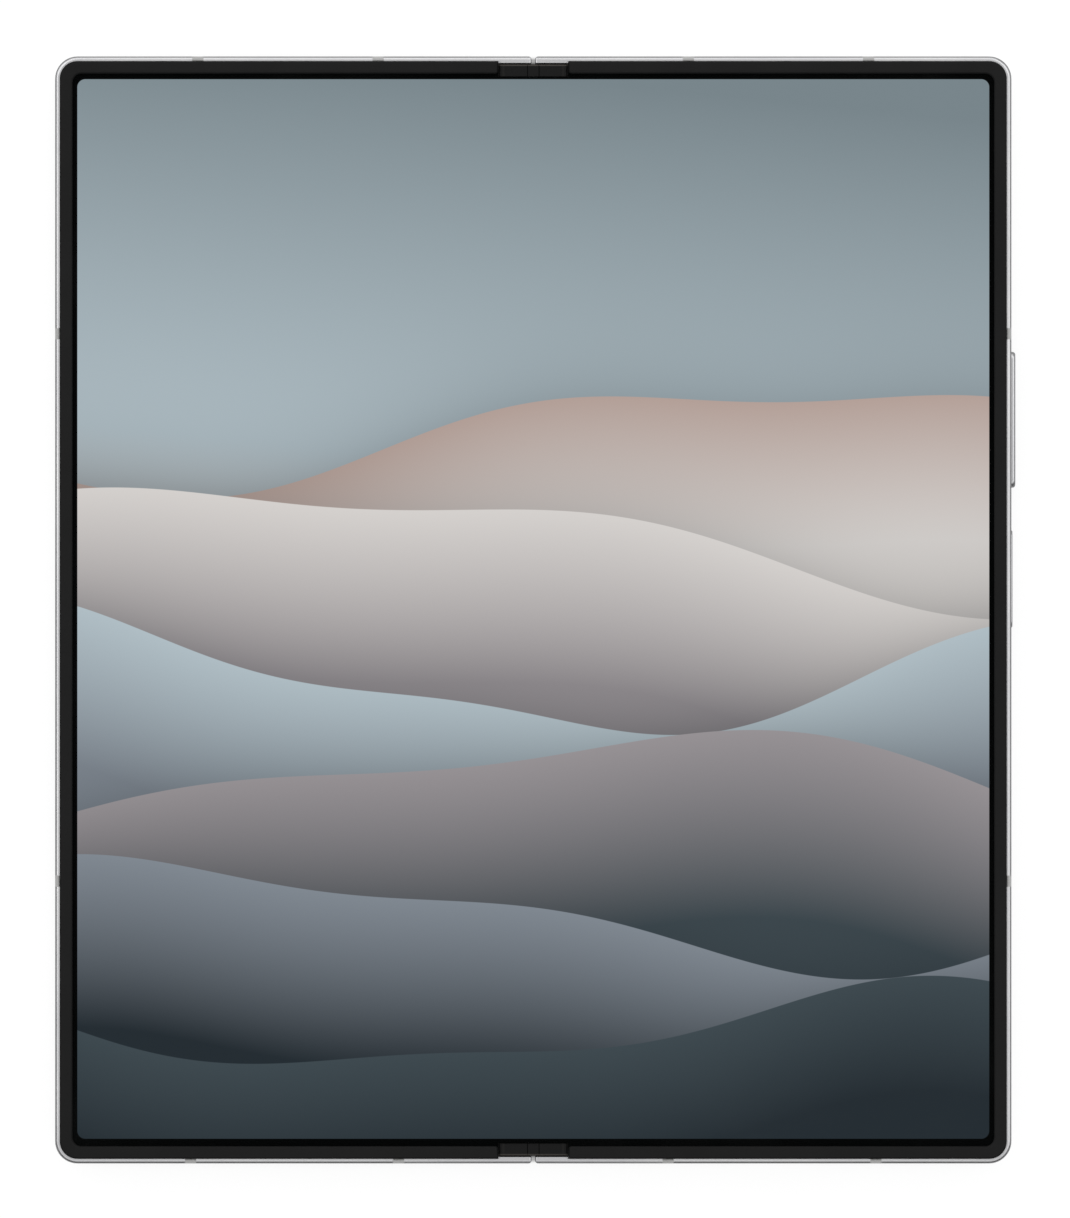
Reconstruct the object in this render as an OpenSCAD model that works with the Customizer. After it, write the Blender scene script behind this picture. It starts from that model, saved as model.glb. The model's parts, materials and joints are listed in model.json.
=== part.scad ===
// A phone that folds like a book, lying open on its back with the inner display up.
// +Y points to the top edge and +X to the half that carries the cameras. The origin is on
// the surface that the phone rests on, below the middle of the fold.

/* [Body] */
// Width of the open phone
open_w = 132.6; // [126:0.1:142]
// Height of the phone
open_h = 153.5; // [150:0.1:162]
// Thickness of one half, from its back to the top of its rim
half_t = 5.6; // [5.5:0.05:6]
// Corner radius of the halves, seen from the front
corner_r = 3.1; // [2.8:0.1:5]
// Distance between the two rims when the phone is folded
fold_gap = 0.9; // [0.8:0.05:1.2]

/* [Frame] */
// Thickness of the metal side wall
rail_t = 1.7; // [1.6:0.05:1.9]
// Width of the metal edge that shows round the rim
lip_w = 0.65; // [0.5:0.05:0.8]
// How far the metal edge lies below the top of the rim
metal_drop = 0.6; // [0.5:0.05:0.75]
// Rounding of the long metal edges
edge_r = 0.45; // [0.2:0.05:0.5]
// Thickness of the plate under the display
plate_t = 0.75; // [0.6:0.05:0.8]
// Width of the antenna breaks
break_w = 1.55; // [1:0.05:2]
// Depth of the antenna breaks
break_depth = 1.2; // [1:0.05:1.4]
// Outer antenna breaks in the top edge, from the fold
break_top_out = 46.5; // [45:0.1:47]
// Inner antenna breaks in the top edge, from the fold
break_top_in = 21.5; // [18:0.1:24]
// Outer antenna breaks in the bottom edge, from the fold
break_bottom_out = 47.5; // [46:0.1:48]
// Inner antenna breaks in the bottom edge, from the fold
break_bottom_in = 18.7; // [16:0.1:20]
// Upper antenna break in each side, from the middle
break_side_up = 38.3; // [37.5:0.1:40]
// Lower antenna break in each side, from the middle
break_side_down = 37.6; // [36:0.1:40]

/* [Display] */
// Thickness of the inner display
display_t = 0.5; // [0.4:0.05:0.55]
// How far the rim stands above the display
rim_h = 0.45; // [0.4:0.05:0.5]
// Width of the raised rim
rim_w = 1.78; // [1.6:0.02:2]
// Inner corner radius of the rim
rim_corner_r = 1.4; // [1:0.1:2]
// Half of the width in which the display bends
bend_half = 4.83; // [4.5:0.05:5.2]
// Thickness of the cover glass and the rear glass
glass_t = 0.6; // [0.5:0.05:0.7]
// Width of the metal round the glass on the back
back_edge = 0.9; // [0.8:0.05:1.1]
// Thickness of the cover display under its glass
cover_panel_t = 0.7; // [0.5:0.05:0.75]

/* [Hinge] */
// Depth of the fold axes below the top of the rim
axis_drop = 1.45; // [1.4:0.05:1.5]
// Thickness of the metal lip that slides over the spine
lip_t = 0.4; // [0.35:0.05:0.45]
// Running gap between the lip and the spine
spine_gap = 0.1; // [0.08:0.01:0.12]
// Wall of the spine cover
spine_wall = 0.6; // [0.5:0.05:0.65]
// Height of the spine cover's sides
spine_h = 2.9; // [2.6:0.05:3]
// Distance from the fold to the inner wall of each half
wall_in = 6.3; // [6.1:0.05:6.6]
// Thickness of that inner wall
wall_t = 2; // [1.8:0.1:2.2]
// Distance of each hinge unit from the middle
hinge_y = 45; // [42:0.5:50]
// Length of one hinge unit along the fold
hinge_l = 18.4; // [18:0.1:20]
// Tooth size (module) of the hinge gears
gear_module = 0.15; // [0.145:0.001:0.152]
// Teeth on a full circle of a hinge arm's gear
arm_teeth = 10; // [10]
// Teeth on an idler gear
idler_teeth = 14; // [14]
// Radius of the pins of the idler gears
pin_r = 0.35; // [0.3:0.01:0.4]
// Thickness of the wing plates under the bend
wing_t = 0.35; // [0.25:0.05:0.4]
// Width of a hinge flex cable
flex_w = 10; // [6:0.5:12]
// Thickness of a hinge flex cable
flex_t = 0.12; // [0.1:0.01:0.2]
// Distance of the flex cables from the middle
flex_y = 15; // [13:0.5:18]

/* [Keys] */
// Length of the volume key
volume_l = 18.85; // [15:0.05:20]
// Middle of the volume key, above the middle of the phone
volume_y = 26.4; // [24:0.1:27]
// How far the volume key stands out
volume_out = 0.6; // [0.4:0.05:0.7]
// Length of the power key
power_l = 13.5; // [11:0.05:14.5]
// Middle of the power key, above the middle of the phone
power_y = 4.3; // [2:0.1:5]
// How far the power key stands out
power_out = 0.2; // [0.2:0.05:0.4]
// Width of the keys
key_w = 1.9; // [1.6:0.05:2]
// Gap round the keys in the frame
key_gap = 0.08; // [0.05:0.01:0.12]
// Travel of the volume key
key_travel = 0.3; // [0.2:0.05:0.3]

/* [Cameras] */
// Total height of the camera island with its lens rings
island_h = 1.6; // [1.3:0.05:2]
// Height of the lens rings above the island
ring_h = 0.4; // [0.2:0.05:0.5]
// Width of the camera island
island_w = 17.5; // [17:0.1:19]
// Length of the camera island
island_l = 47.5; // [46.5:0.1:49]
// Distance from the island to the side edge
island_side = 4.3; // [4.2:0.1:5.5]
// Distance from the island to the top edge
island_top = 8.5; // [8:0.1:10]
// Distance between the lenses
lens_pitch = 15; // [14.5:0.1:15.4]
// Outer radius of a lens ring
ring_r = 6.2; // [6:0.05:6.4]
// Radius of a lens cover
lens_r = 4.95; // [4.9:0.01:5.1]
// Thickness of a lens cover
lens_t = 0.4; // [0.3:0.05:0.5]
// Side of a camera module
camera_w = 10.4; // [10:0.1:10.8]
// Radius of the flash window
flash_r = 2.3; // [1.8:0.1:2.6]
// Side of the inner camera and of the cover camera
small_camera_w = 5.6; // [5:0.1:6]
// Distance of the inner and cover cameras from the inside of the top rail
camera_drop = 8.8; // [8:0.1:9.2]

/* [Sockets] */
// Distance of the USB-C socket from the fold
usb_x = 33; // [30:0.5:36]
// Width of the socket's metal shell
usb_w = 8.94; // [8.9:0.01:9]
// Height of the socket's metal shell
usb_h = 3.16; // [3.1:0.01:3.2]
// Wall of the socket's metal shell
usb_wall = 0.3; // [0.25:0.01:0.35]
// Depth of the socket
usb_depth = 7.3; // [6.5:0.1:7.5]
// Middle of the SIM tray, above the middle of the phone
sim_y = 10; // [6:0.5:14]
// Length of the SIM tray's front
sim_l = 12.9; // [12.6:0.1:13.2]
// Width of the SIM tray's front
sim_w = 2.3; // [2.2:0.05:2.4]
// Length that the SIM tray reaches into the phone
sim_depth = 21; // [20:0.5:22]
// Radius of the eject hole
eject_r = 0.45; // [0.4:0.05:0.5]
// Radius of a speaker hole
speaker_r = 0.55; // [0.4:0.05:0.65]
// Number of speaker holes in a row
speaker_count = 6; // [3:1:6]
// Distance between speaker holes
speaker_pitch = 1.8; // [1.6:0.05:1.9]
// First speaker hole, from the fold
speaker_x = 50.5; // [49.6:0.1:51]

/* [Inside] */
// Height of the main board's outline
board_l = 58; // [56:0.5:60]
// Height of the sub board's outline
left_board_l = 19; // [17:0.5:21]
// Height of the charge board's outline
charge_board_l = 6.3; // [5.5:0.1:7]
// Free strip beside and above the batteries
battery_gap = 3; // [2:0.1:3.5]
// Distance from the left battery to the bottom edge
left_battery_foot = 20; // [16:0.5:24]
// Length of a closing magnet
magnet_l = 14; // [10:0.5:16]
// Width of a closing magnet
magnet_w = 2.8; // [2:0.1:3]
// Distance between the closing magnets, middle to middle
magnet_pitch = 20; // [18:0.5:24]
// Outer radius of the charging coil
coil_r = 21; // [18:0.5:22]
// Radius of the opening in the charging coil
coil_hole_r = 12; // [8:0.5:14]
// Height of a speaker box
speaker_l = 11.5; // [10:0.1:12.5]
// Width of the vibration motor
motor_w = 8; // [7:0.1:9]
// Length of the vibration motor
motor_l = 15; // [12:0.1:16]
// Thickness of the boards
board_t = 0.6; // [0.5:0.05:0.7]
// Radius of a screw's shaft
screw_r = 0.5; // [0.4:0.05:0.55]
// Gap left round loose pieces inside
bay_gap = 0.2; // [0.1:0.05:0.3]

/* [Hidden] */
$fn = 48;
slack = 0.02;
half_w = open_w / 2;
half_h = open_h / 2;
// Heights, measured from the back of the halves
metal_top = half_t - metal_drop;
display_top = half_t - rim_h;
display_z = display_top - display_t;
plate_z = display_z - plate_t;
axis_z = half_t - axis_drop;
axis_x = axis_drop + fold_gap / 2;
spine_r = axis_z - lip_t - spine_gap;
spine_z = lip_t + spine_gap;
spine_floor = spine_z + spine_wall;
spine_top = spine_z + spine_h;
// The spine's end, the half's end wall beside it and the metal lip at the fold
end_web = 0.9;
end_gap = 0.15;
lip_end = 0.25;
end_slant = 0.35;
end_round = 0.45;
spine_end = half_h - end_web - end_gap;
spine_end_wall = 0.8;
end_wall_top = axis_z - 1.45;
// Rim and display outlines, as distances in from the metal outline
rim_in = lip_w + slack;
rim_foot_in = rim_in + 1.11;
rim_edge_in = lip_w + rim_w;
panel_in = rim_foot_in + slack;
strip_y = half_h - rim_edge_in - 0.47;
// End caps of the hinge
cap_barrel_r = 1.2;
cap_half_h = 0.75;
cap_y0 = strip_y + 0.05;
cap_tail_top = display_z - 0.05;
cap_top_in = 0.1;
centre_cap_w = 1.1;
centre_cap_top = axis_z + 0.55;
// Bays inside the halves
glass_in = wall_in + 1.3;
bay_in = wall_in + wall_t;
bay_out = half_w - rail_t;
bay_y = half_h - rail_t;
plate_in = wall_in + 1.25;
bay_top = plate_z - bay_gap;
// Hinge arms and their block, screwed to a boss of the half
arm_z0 = axis_z - 1.4;
arm_z1 = axis_z - 0.7;
block_in = wall_in + 0.1;
block_out = wall_in + 3.2;
block_y = hinge_l / 2 - 0.2;
boss_z = arm_z0 - 0.05;
block_top = plate_z - 0.05;
pocket_out = block_out + 0.1;
pocket_y = hinge_l / 2 + 0.1;
boss_out = pocket_out + 0.8;
hinge_screw_x = wall_in + 2.15;
hinge_screw_y = 6;
shoe_r0 = 1.6;
shoe_r1 = 2.3;
groove_gap = 0.05;
bracket_drop = 0.1;
shoe_y0 = 4.1;
shoe_y1 = 8.9;
shoe_slice = 4;
// Gears
arm_gear_r = gear_module * arm_teeth / 2;
idler_r = gear_module * idler_teeth / 2;
gear_play = 0.02;
idler_x = idler_r + gear_play / 2;
idler_drop = sqrt(pow(arm_gear_r + idler_r + gear_play, 2) - pow(axis_x - idler_x, 2));
idler_z = axis_z - idler_drop;
mesh_angle = atan2(idler_drop, axis_x - idler_x);
gear_half_l = 2.8;
cheek_in = 3.3;
web_z0 = axis_z - 0.7;
web_z1 = axis_z - 0.15;
web_half_l = 3;
gear_top = display_z - 0.1;
pin_gap = 0.03;
// Wing plates
wing_top = display_z - 0.05;
wing_in = 0.45;
wing_out = wall_in + 1.1;
wing_window = wall_in - 0.1;
wing_y = strip_y - 0.45;
// Flex cables
flex_z = axis_z - 1.15;
flex_slot = 0.2;
flex_end = bay_in + 1.5;
notch_z = arm_z0 - 0.15;
// Keys and their switches
key_z = glass_t + 1.85;
flange_t = 0.5;
flange_over = 0.4;
flange_x = bay_out - 0.05 - flange_t;
switch_t = 0.3;
press_gap = 0.05;
power_travel = min(key_travel, power_out);
// Camera island and lenses
island_x = half_w - island_side - island_w / 2;
island_y = half_h - island_top - island_l / 2;
island_t = island_h - ring_h;
lens_y = [island_y + lens_pitch, island_y, island_y - lens_pitch];
ring_step_r = lens_r - 0.55;
ring_step_z = -island_h + 0.7;
island_gap = 0.05;
ring_seat = 0.2;
window_inset = 1.6;
flash_x = island_x - island_w / 2 - flash_r - 2;
flash_y = island_y + lens_pitch - 2;
// Boards, batteries and other inner pieces
board_z = glass_t + 1.75;
board_x0 = boss_out + bay_gap;
board_x1 = bay_out - 2.6;
board_y1 = bay_y - 2;
board_y0 = board_y1 - board_l;
left_board_y1 = bay_y - speaker_l - battery_gap;
left_board_y0 = left_board_y1 - left_board_l;
magnet_x = bay_out - magnet_w - 2.3;
magnet_y = -2 * magnet_pitch - 3;
charge_board_y = usb_depth - half_h + 0.35 + bay_gap;
battery_x = boss_out + 1.6;
right_battery_x1 = magnet_x - battery_gap;
right_battery_y0 = charge_board_y + charge_board_l + battery_gap;
right_battery_y1 = board_y0 - battery_gap;
left_battery_x1 = half_w - sim_depth - battery_gap - 1;
left_battery_y0 = left_battery_foot - half_h;
left_battery_y1 = left_board_y0 - battery_gap;
motor_y = left_battery_y0 + battery_gap;
cover_z = glass_t + cover_panel_t + 0.15;
small_camera_x = (glass_in + half_w) / 2 - 2;
inner_camera_y = bay_y - camera_drop - 0.2;
cover_camera_y = bay_y - camera_drop + 0.2;
small_lens_r = 1.9;
small_camera_room = small_camera_w / 2 + 1.2;
coil_z = glass_t + 0.1;
coil_t = 0.35;
vapour_t = 0.16;
right_board_reach = 36;
speaker_y1 = bay_y - 0.15;
speaker_side = 4;
usb_z = glass_t + 0.12 + usb_h / 2;
usb_mouth = half_h - 0.35;
usb_gap = 0.03;
usb_back = 0.5;
tongue_w = 6.7;
tongue_t = 0.7;
tongue_in = 1.3;
mic_r = 0.38;
mic_bottom_x = usb_x - 9;
mic_top_x = usb_x - 3;
charge_board_w = 19;
shield_gap = 5;
shield_t = 1.1;
sim_z = cover_z + sim_w / 2 + 0.05;
sim_front_t = 1.2;
sim_bed_w = 10.2;
sim_bed_t = 1.3;
sim_cage_wall = 0.35;
sim_gap = 0.2;
card_w = 8.9;
card_l = 12.4;
card_t = 0.7;
side_rows = [break_side_up, -break_side_down];

// ---- Helpers ----

// Lifts a piece so that the phone's lens rings stand on the ground plane
module on_ground() {
    translate([0, 0, island_h]) children();
}

// Every half is drawn at +X; the left one is its mirror image
module on_left() {
    mirror([1, 0, 0]) children();
}

module both_ends() {
    children();
    mirror([0, 1, 0]) children();
}

module both_sides() {
    children();
    mirror([1, 0, 0]) children();
}

module box(x0, x1, y0, y1, z0, z1) {
    translate([x0, y0, z0]) cube([x1 - x0, y1 - y0, z1 - z0]);
}

// Carries a profile, drawn as (x, z), along Y
module along_y(y0, y1) {
    translate([0, y1, 0]) rotate([90, 0, 0]) linear_extrude(y1 - y0) children();
}

// Carries a profile, drawn as (y, z), along X
module along_x(x0, x1) {
    translate([x0, 0, 0]) rotate([90, 0, 90]) linear_extrude(x1 - x0) children();
}

// A slot shape, centred, with round ends
module stadium(l, w) {
    square([l - w, w], center = true);
    for (s = [-1, 1]) translate([s * (l - w) / 2, 0]) circle(w / 2);
}

// Outline of a half at +X, in by d from the metal, with round outer corners
module outline(d, r, x_in) {
    x1 = half_w - d;
    y1 = half_h - d;
    translate([x_in, r - y1]) square([x1 - x_in, 2 * (y1 - r)]);
    translate([x_in, -y1]) square([x1 - r - x_in, 2 * y1]);
    for (s = [-1, 1]) translate([x1 - r, s * (y1 - r)]) circle(r);
}

module layer(d, r, x_in, z0, z1) {
    translate([0, 0, z0]) linear_extrude(z1 - z0) outline(d, r, x_in);
}

// Points on an arc
function arc(x, y, r, a0, a1, n) =
    [for (i = [0:n]) [x + r * cos(a0 + (a1 - a0) * i / n), y + r * sin(a0 + (a1 - a0) * i / n)]];

// A wedge from the origin, between two angles
module wedge(a0, a1) {
    polygon(concat([[0, 0]], arc(0, 0, 9, a0, a1, 6)));
}

// ---- Frames, rims and glass ----

// Section of the metal side wall, as distance in from the outline and height
module rail_section() {
    polygon(concat(
        arc(edge_r, edge_r, edge_r, 270, 180, 5),
        arc(edge_r, metal_top - edge_r, edge_r, 180, 90, 5),
        [[lip_w, metal_top], [lip_w, display_z], [rail_t, display_z], [rail_t, 0]]));
}

// The side wall round a half: one side, two corners and two ends
module rail() {
    along_y(corner_r - half_h, half_h - corner_r) translate([half_w, 0]) mirror([1, 0]) rail_section();
    both_ends() {
        along_x(lip_end, half_w - corner_r) translate([half_h, 0]) mirror([1, 0]) rail_section();
        translate([half_w - corner_r, half_h - corner_r, 0]) rotate_extrude(angle = 90)
            translate([corner_r, 0]) mirror([1, 0]) rail_section();
    }
}

// Boxes in the side wall that hold the antenna breaks
module break_boxes() {
    for (x = [break_top_out, break_top_in])
        box(x - break_w / 2, x + break_w / 2, half_h - break_depth, half_h + 1, -1, half_t);
    for (x = [break_bottom_out, break_bottom_in])
        box(x - break_w / 2, x + break_w / 2, -half_h - 1, break_depth - half_h, -1, half_t);
    for (y = side_rows)
        box(half_w - break_depth, half_w + 1, y - break_w / 2, y + break_w / 2, -1, half_t);
}

module glass_pocket() {
    layer(back_edge, corner_r - back_edge, glass_in, -1, glass_t);
}

module speaker_holes(end) {
    for (i = [0:speaker_count - 1])
        translate([speaker_x + i * speaker_pitch, end * (half_h - rail_t / 2), usb_z])
            rotate([90, 0, 0]) cylinder(r = speaker_r, h = 2 * rail_t, center = true);
}

// Metal frame of a half: side wall, plate, inner wall, lip over the spine, hinge bosses
// Wider lip beside the hinge caps, cut off at a slant where the rim ends
module end_shelf() {
    translate([0, 0, display_z - slack]) linear_extrude(metal_top - display_z + slack) polygon([
        [lip_end, half_h - end_web], [bend_half - end_slant - slack, half_h - end_web],
        [bend_half - slack, half_h - lip_w], [bend_half - slack, half_h - lip_w + slack],
        [lip_end, half_h - lip_w + slack]]);
}

module half_frame() {
    difference() {
        union() {
            rail();
            layer(break_depth, corner_r - break_depth, plate_in, plate_z, display_z);
            box(lip_end, wall_in + 1, end_web - half_h, half_h - end_web, 0, lip_t);
            box(wall_in, bay_in, 1 - half_h, half_h - 1, 0, plate_z + slack);
            both_ends() box(wall_in, boss_out, hinge_y - pocket_y - 0.8, hinge_y + pocket_y + 0.8,
                glass_t, plate_z + slack);
            both_ends() end_shelf();
        }
        glass_pocket();
        // room for the spine, and for the wing plate's outer edge
        box(-1, wall_in, end_web - half_h, half_h - end_web, lip_t, half_t);
        box(wall_in - 1, plate_in, -wing_y - 0.2, wing_y + 0.2, plate_z - slack, half_t);
        both_ends() {
            box(wall_in - 1, pocket_out, hinge_y - pocket_y, hinge_y + pocket_y, boss_z, half_t);
            for (s = [-1, 1]) translate([hinge_screw_x, hinge_y + s * hinge_screw_y, boss_z - 1.3])
                cylinder(r = screw_r + slack, h = 3);
            box(wall_in - 1, bay_in + 1, flex_y - flex_w / 2 - flex_slot, flex_y + flex_w / 2 + flex_slot,
                flex_z - flex_slot, flex_z + flex_t + flex_slot);
            // rounded end of the side wall at the fold
            difference() {
                box(lip_end - 1, lip_end + end_round, half_h - end_round, half_h + 1, -1, half_t);
                translate([lip_end + end_round, half_h - end_round, -2])
                    cylinder(r = end_round, h = half_t + 3);
            }
        }
        break_boxes();
    }
}

module antenna_breaks() {
    difference() {
        intersection() {
            rail();
            break_boxes();
        }
        glass_pocket();
    }
}

// Raised rim round a half, with its foot between the display and the metal
module rim() {
    difference() {
        layer(rim_in, corner_r - rim_in, bend_half, display_z, half_t);
        layer(rim_foot_in, rim_corner_r, 0, 0, display_top + slack);
        layer(rim_edge_in, rim_corner_r, 0, 0, half_t + 1);
    }
}

module display_panel() {
    layer(panel_in, rim_corner_r - slack, bend_half, display_z, display_top);
}

module back_glass() {
    layer(back_edge + slack, corner_r - back_edge - slack, glass_in + slack, 0, glass_t);
}

// ---- Hinge ----

// Toothed rim: tooth i stands at first + i * 360 / n
module teeth(n, count, first) {
    r = gear_module * n / 2;
    pitch = 360 / n;
    tip = r + 0.8 * gear_module;
    root = r - 1.1 * gear_module;
    for (i = [0:count - 1]) rotate(first + i * pitch)
        polygon([[root - 0.1, -root * sin(0.27 * pitch)], [root, -root * sin(0.27 * pitch)],
            [tip, -tip * sin(0.1 * pitch)], [tip, tip * sin(0.1 * pitch)],
            [root, root * sin(0.27 * pitch)], [root - 0.1, root * sin(0.27 * pitch)]]);
}

function root_r(n) = gear_module * (n / 2 - 1.1);
function idler_pitch() = 360 / idler_teeth;
// First tooth of an idler: at the other idler on one side, half a pitch away on the other
function idler_first(side) = side > 0 ? 180 + idler_pitch() / 2 : 180;
// How far the idler's nearest tooth stands from the line to the hinge arm's gear
function mesh_offset(side) = idler_first(side)
    + idler_pitch() * round((mesh_angle - idler_first(side)) / idler_pitch()) - mesh_angle;
// The arm's gap takes that tooth
function arm_gap(side) = mesh_angle - 180 - mesh_offset(side) * idler_r / arm_gear_r;

module idler(side) {
    along_y(hinge_y - gear_half_l, hinge_y + gear_half_l) translate([idler_x, idler_z]) difference() {
        union() {
            circle(root_r(idler_teeth));
            teeth(idler_teeth, idler_teeth, idler_first(side));
        }
        circle(pin_r + pin_gap);
    }
}

// One hinge arm: arc shoe in its groove, toothed sector, and the block on the half
module hinge_arm(side) {
    shoe_side = side > 0 ? 1 : -1;
    difference() {
        union() {
            translate([0, hinge_y, 0]) scale([1, shoe_side, 1]) along_y(shoe_y0, shoe_y1) {
                translate([axis_x, axis_z]) intersection() {
                    difference() {
                        circle(shoe_r1);
                        circle(shoe_r0);
                    }
                    wedge(-148, -36);
                }
                difference() {
                    translate([axis_x + 1.3, arm_z0]) square([block_in + 0.2 - axis_x - 1.3, arm_z1 - arm_z0]);
                    translate([axis_x, axis_z]) circle(shoe_r0);
                }
            }
            intersection() {
                along_y(hinge_y - gear_half_l, hinge_y + gear_half_l) translate([axis_x, axis_z]) {
                    circle(root_r(arm_teeth));
                    teeth(arm_teeth, 4, arm_gap(side) - 126);
                }
                box(0, half_w, 0, half_h, 0, gear_top);
            }
            box(axis_x, block_in + 0.2, hinge_y - web_half_l, hinge_y + web_half_l, web_z0, web_z1);
            box(block_in, block_out, hinge_y - block_y, hinge_y + block_y, boss_z, block_top);
        }
        for (s = [-1, 1]) translate([hinge_screw_x, hinge_y + s * hinge_screw_y, 0])
            cylinder(r = screw_r + 0.05, h = half_t);
    }
}

// Dark end cap: a barrel round the fold axis with a flat top, and a tail under the rim
module hinge_cap() {
    both_ends() along_y(cap_y0, half_h - end_web) {
        intersection() {
            translate([axis_x, axis_z]) circle(cap_barrel_r);
            translate([0, axis_z - cap_half_h]) square([axis_x, 2 * cap_half_h]);
        }
        translate([axis_x, axis_z - cap_half_h]) square([bend_half - cap_top_in - axis_x, 2 * cap_half_h]);
        translate([axis_x, axis_z - cap_half_h])
            square([wall_in - 0.1 - axis_x, cap_tail_top - axis_z + cap_half_h]);
    }
}

// Section of the spine, grown or shrunk to radius r
module spine_section(r, z0, z1) {
    intersection() {
        union() {
            for (s = [-1, 1]) translate([s * axis_x, axis_z]) circle(r, $fn = 96);
            translate([-axis_x, axis_z - r]) square([2 * axis_x, 2 * r]);
        }
        translate([-half_w, z0]) square([open_w, z1 - z0]);
    }
}

module spine_cover() {
    color("silver") on_ground() difference() {
        along_y(-spine_end, spine_end) spine_section(spine_r, spine_z, spine_top);
        along_y(spine_end_wall - spine_end, spine_end - spine_end_wall)
            spine_section(spine_r - spine_wall, spine_floor, spine_top + 1);
        // lower ends below the caps, and notches for the hinge arms and flex cables
        both_ends() {
            box(-half_w, half_w, spine_end - spine_end_wall - 1, half_h, end_wall_top, half_t);
            both_sides() {
                box(axis_x + 1, half_w, hinge_y - pocket_y, hinge_y + pocket_y, notch_z, half_t);
                box(axis_x + 1, half_w, flex_y - flex_w / 2 - flex_slot, flex_y + flex_w / 2 + flex_slot,
                    notch_z, half_t);
            }
        }
    }
}

// Section of a hinge bracket: it stands on the spine's floor, inside its round sides
module bracket_section() {
    r = spine_r - spine_wall - groove_gap;
    side = arc(axis_x, axis_z, r, -82, -asin(bracket_drop / r), 8);
    polygon(concat([[-axis_x, spine_floor], [axis_x, spine_floor]], side,
        [for (i = [len(side) - 1:-1:0]) [-side[i][0], side[i][1]]]));
}

// The same section where the right arm's shoe slides in its groove
module groove_section() {
    difference() {
        bracket_section();
        translate([axis_x, axis_z]) {
            intersection() {
                difference() {
                    circle(shoe_r1 + groove_gap);
                    circle(shoe_r0 - groove_gap);
                }
                wedge(-150, 60);
            }
            difference() {
                wedge(-38, 100);
                circle(shoe_r0 - groove_gap);
            }
        }
        translate([-half_w, notch_z - 0.1]) square([half_w - 0.9, half_t]);
    }
}

// Hinge bracket: two groove blocks, two cheeks for the gear pins and a floor
module hinge_bracket() {
    difference() {
        union() {
            translate([0, hinge_y, 0]) {
                along_y(shoe_slice, hinge_l / 2) groove_section();
                along_y(-hinge_l / 2, -shoe_slice) mirror([1, 0]) groove_section();
                for (y = [cheek_in, -shoe_slice]) along_y(y, y + shoe_slice - cheek_in)
                    intersection() {
                        bracket_section();
                        translate([-3.2, 0]) square([6.4, half_t]);
                    }
                along_y(-shoe_slice, shoe_slice)
                    translate([-axis_x, spine_floor]) square([2 * axis_x, 0.2]);
            }
        }
        both_sides() translate([idler_x, hinge_y, idler_z]) rotate([90, 0, 0])
            cylinder(r = pin_r + slack / 2, h = 2 * shoe_slice, center = true);
    }
}

module gear_pins() {
    color("lightgray") on_ground() both_ends() both_sides() translate([idler_x, hinge_y, idler_z])
        rotate([90, 0, 0]) cylinder(r = pin_r, h = 2 * shoe_slice - 0.1, center = true);
}

module centre_caps() {
    color("#202020") on_ground() both_ends() {
        box(-centre_cap_w / 2, centre_cap_w / 2, cap_y0, spine_end, end_wall_top, centre_cap_top);
        box(-centre_cap_w / 2, centre_cap_w / 2, cap_y0, spine_end - spine_end_wall,
            spine_floor, end_wall_top);
    }
}

module hinge_flex_cables() {
    color("darkgoldenrod") on_ground() both_ends()
        box(-flex_end, flex_end, flex_y - flex_w / 2, flex_y + flex_w / 2, flex_z, flex_z + flex_t);
}

module display_fold() {
    color("slategray") on_ground()
        box(-bend_half, bend_half, -strip_y, strip_y, display_z, display_top);
}

// Thin plate that carries the display beside the fold and tilts out of its bend
module wing() {
    difference() {
        box(wing_in, wing_out, -wing_y, wing_y, wing_top - wing_t, wing_top);
        both_ends() box(0, wing_window, hinge_y - pocket_y, hinge_y + pocket_y, 0, half_t);
    }
}

// ---- Right half ----

module right_frame() {
    color("silver") on_ground() difference() {
        union() {
            half_frame();
            screw_posts(right_screw_places());
        }
        screw_holes(right_screw_places());
        along_x(bay_out - 0.5, half_w + 1) {
            translate([volume_y, key_z]) stadium(volume_l + 2 * key_gap, key_w + 2 * key_gap);
            translate([power_y, key_z]) stadium(power_l + 2 * key_gap, key_w + 2 * key_gap);
        }
        along_y(-half_h - 1, 0.5 - bay_y) translate([usb_x, usb_z])
            stadium(usb_w + 2 * usb_gap, usb_h + 2 * usb_gap);
        speaker_holes(-1);
        for (p = [[mic_bottom_x, rail_t / 2 - half_h], [mic_top_x, half_h - rail_t / 2]])
            translate([p[0], p[1], usb_z]) rotate([90, 0, 0])
                cylinder(r = mic_r, h = 2 * rail_t, center = true);
        translate([small_camera_x, inner_camera_y, plate_z - 1]) cylinder(r = small_lens_r + 0.2, h = 3);
    }
}

module right_antenna_breaks() {
    color("gray") on_ground() antenna_breaks();
}

module right_rim() {
    color("#212121") on_ground() rim();
}

module rear_glass() {
    color("#c8cacb") on_ground() difference() {
        back_glass();
        translate([island_x, island_y, -1]) linear_extrude(glass_t + 2) rotate(90)
            stadium(island_l - 2 * window_inset, island_w - 2 * window_inset);
        translate([flash_x, flash_y, -1]) cylinder(r = flash_r + island_gap, h = glass_t + 2);
    }
}

module camera_island() {
    color("silver") on_ground() translate([0, 0, -island_t]) difference() {
        linear_extrude(island_t) translate([island_x, island_y]) rotate(90) stadium(island_l, island_w);
        for (y = lens_y) translate([island_x, y, -1]) cylinder(r = ring_r + island_gap, h = island_t + 2);
    }
}

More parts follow.
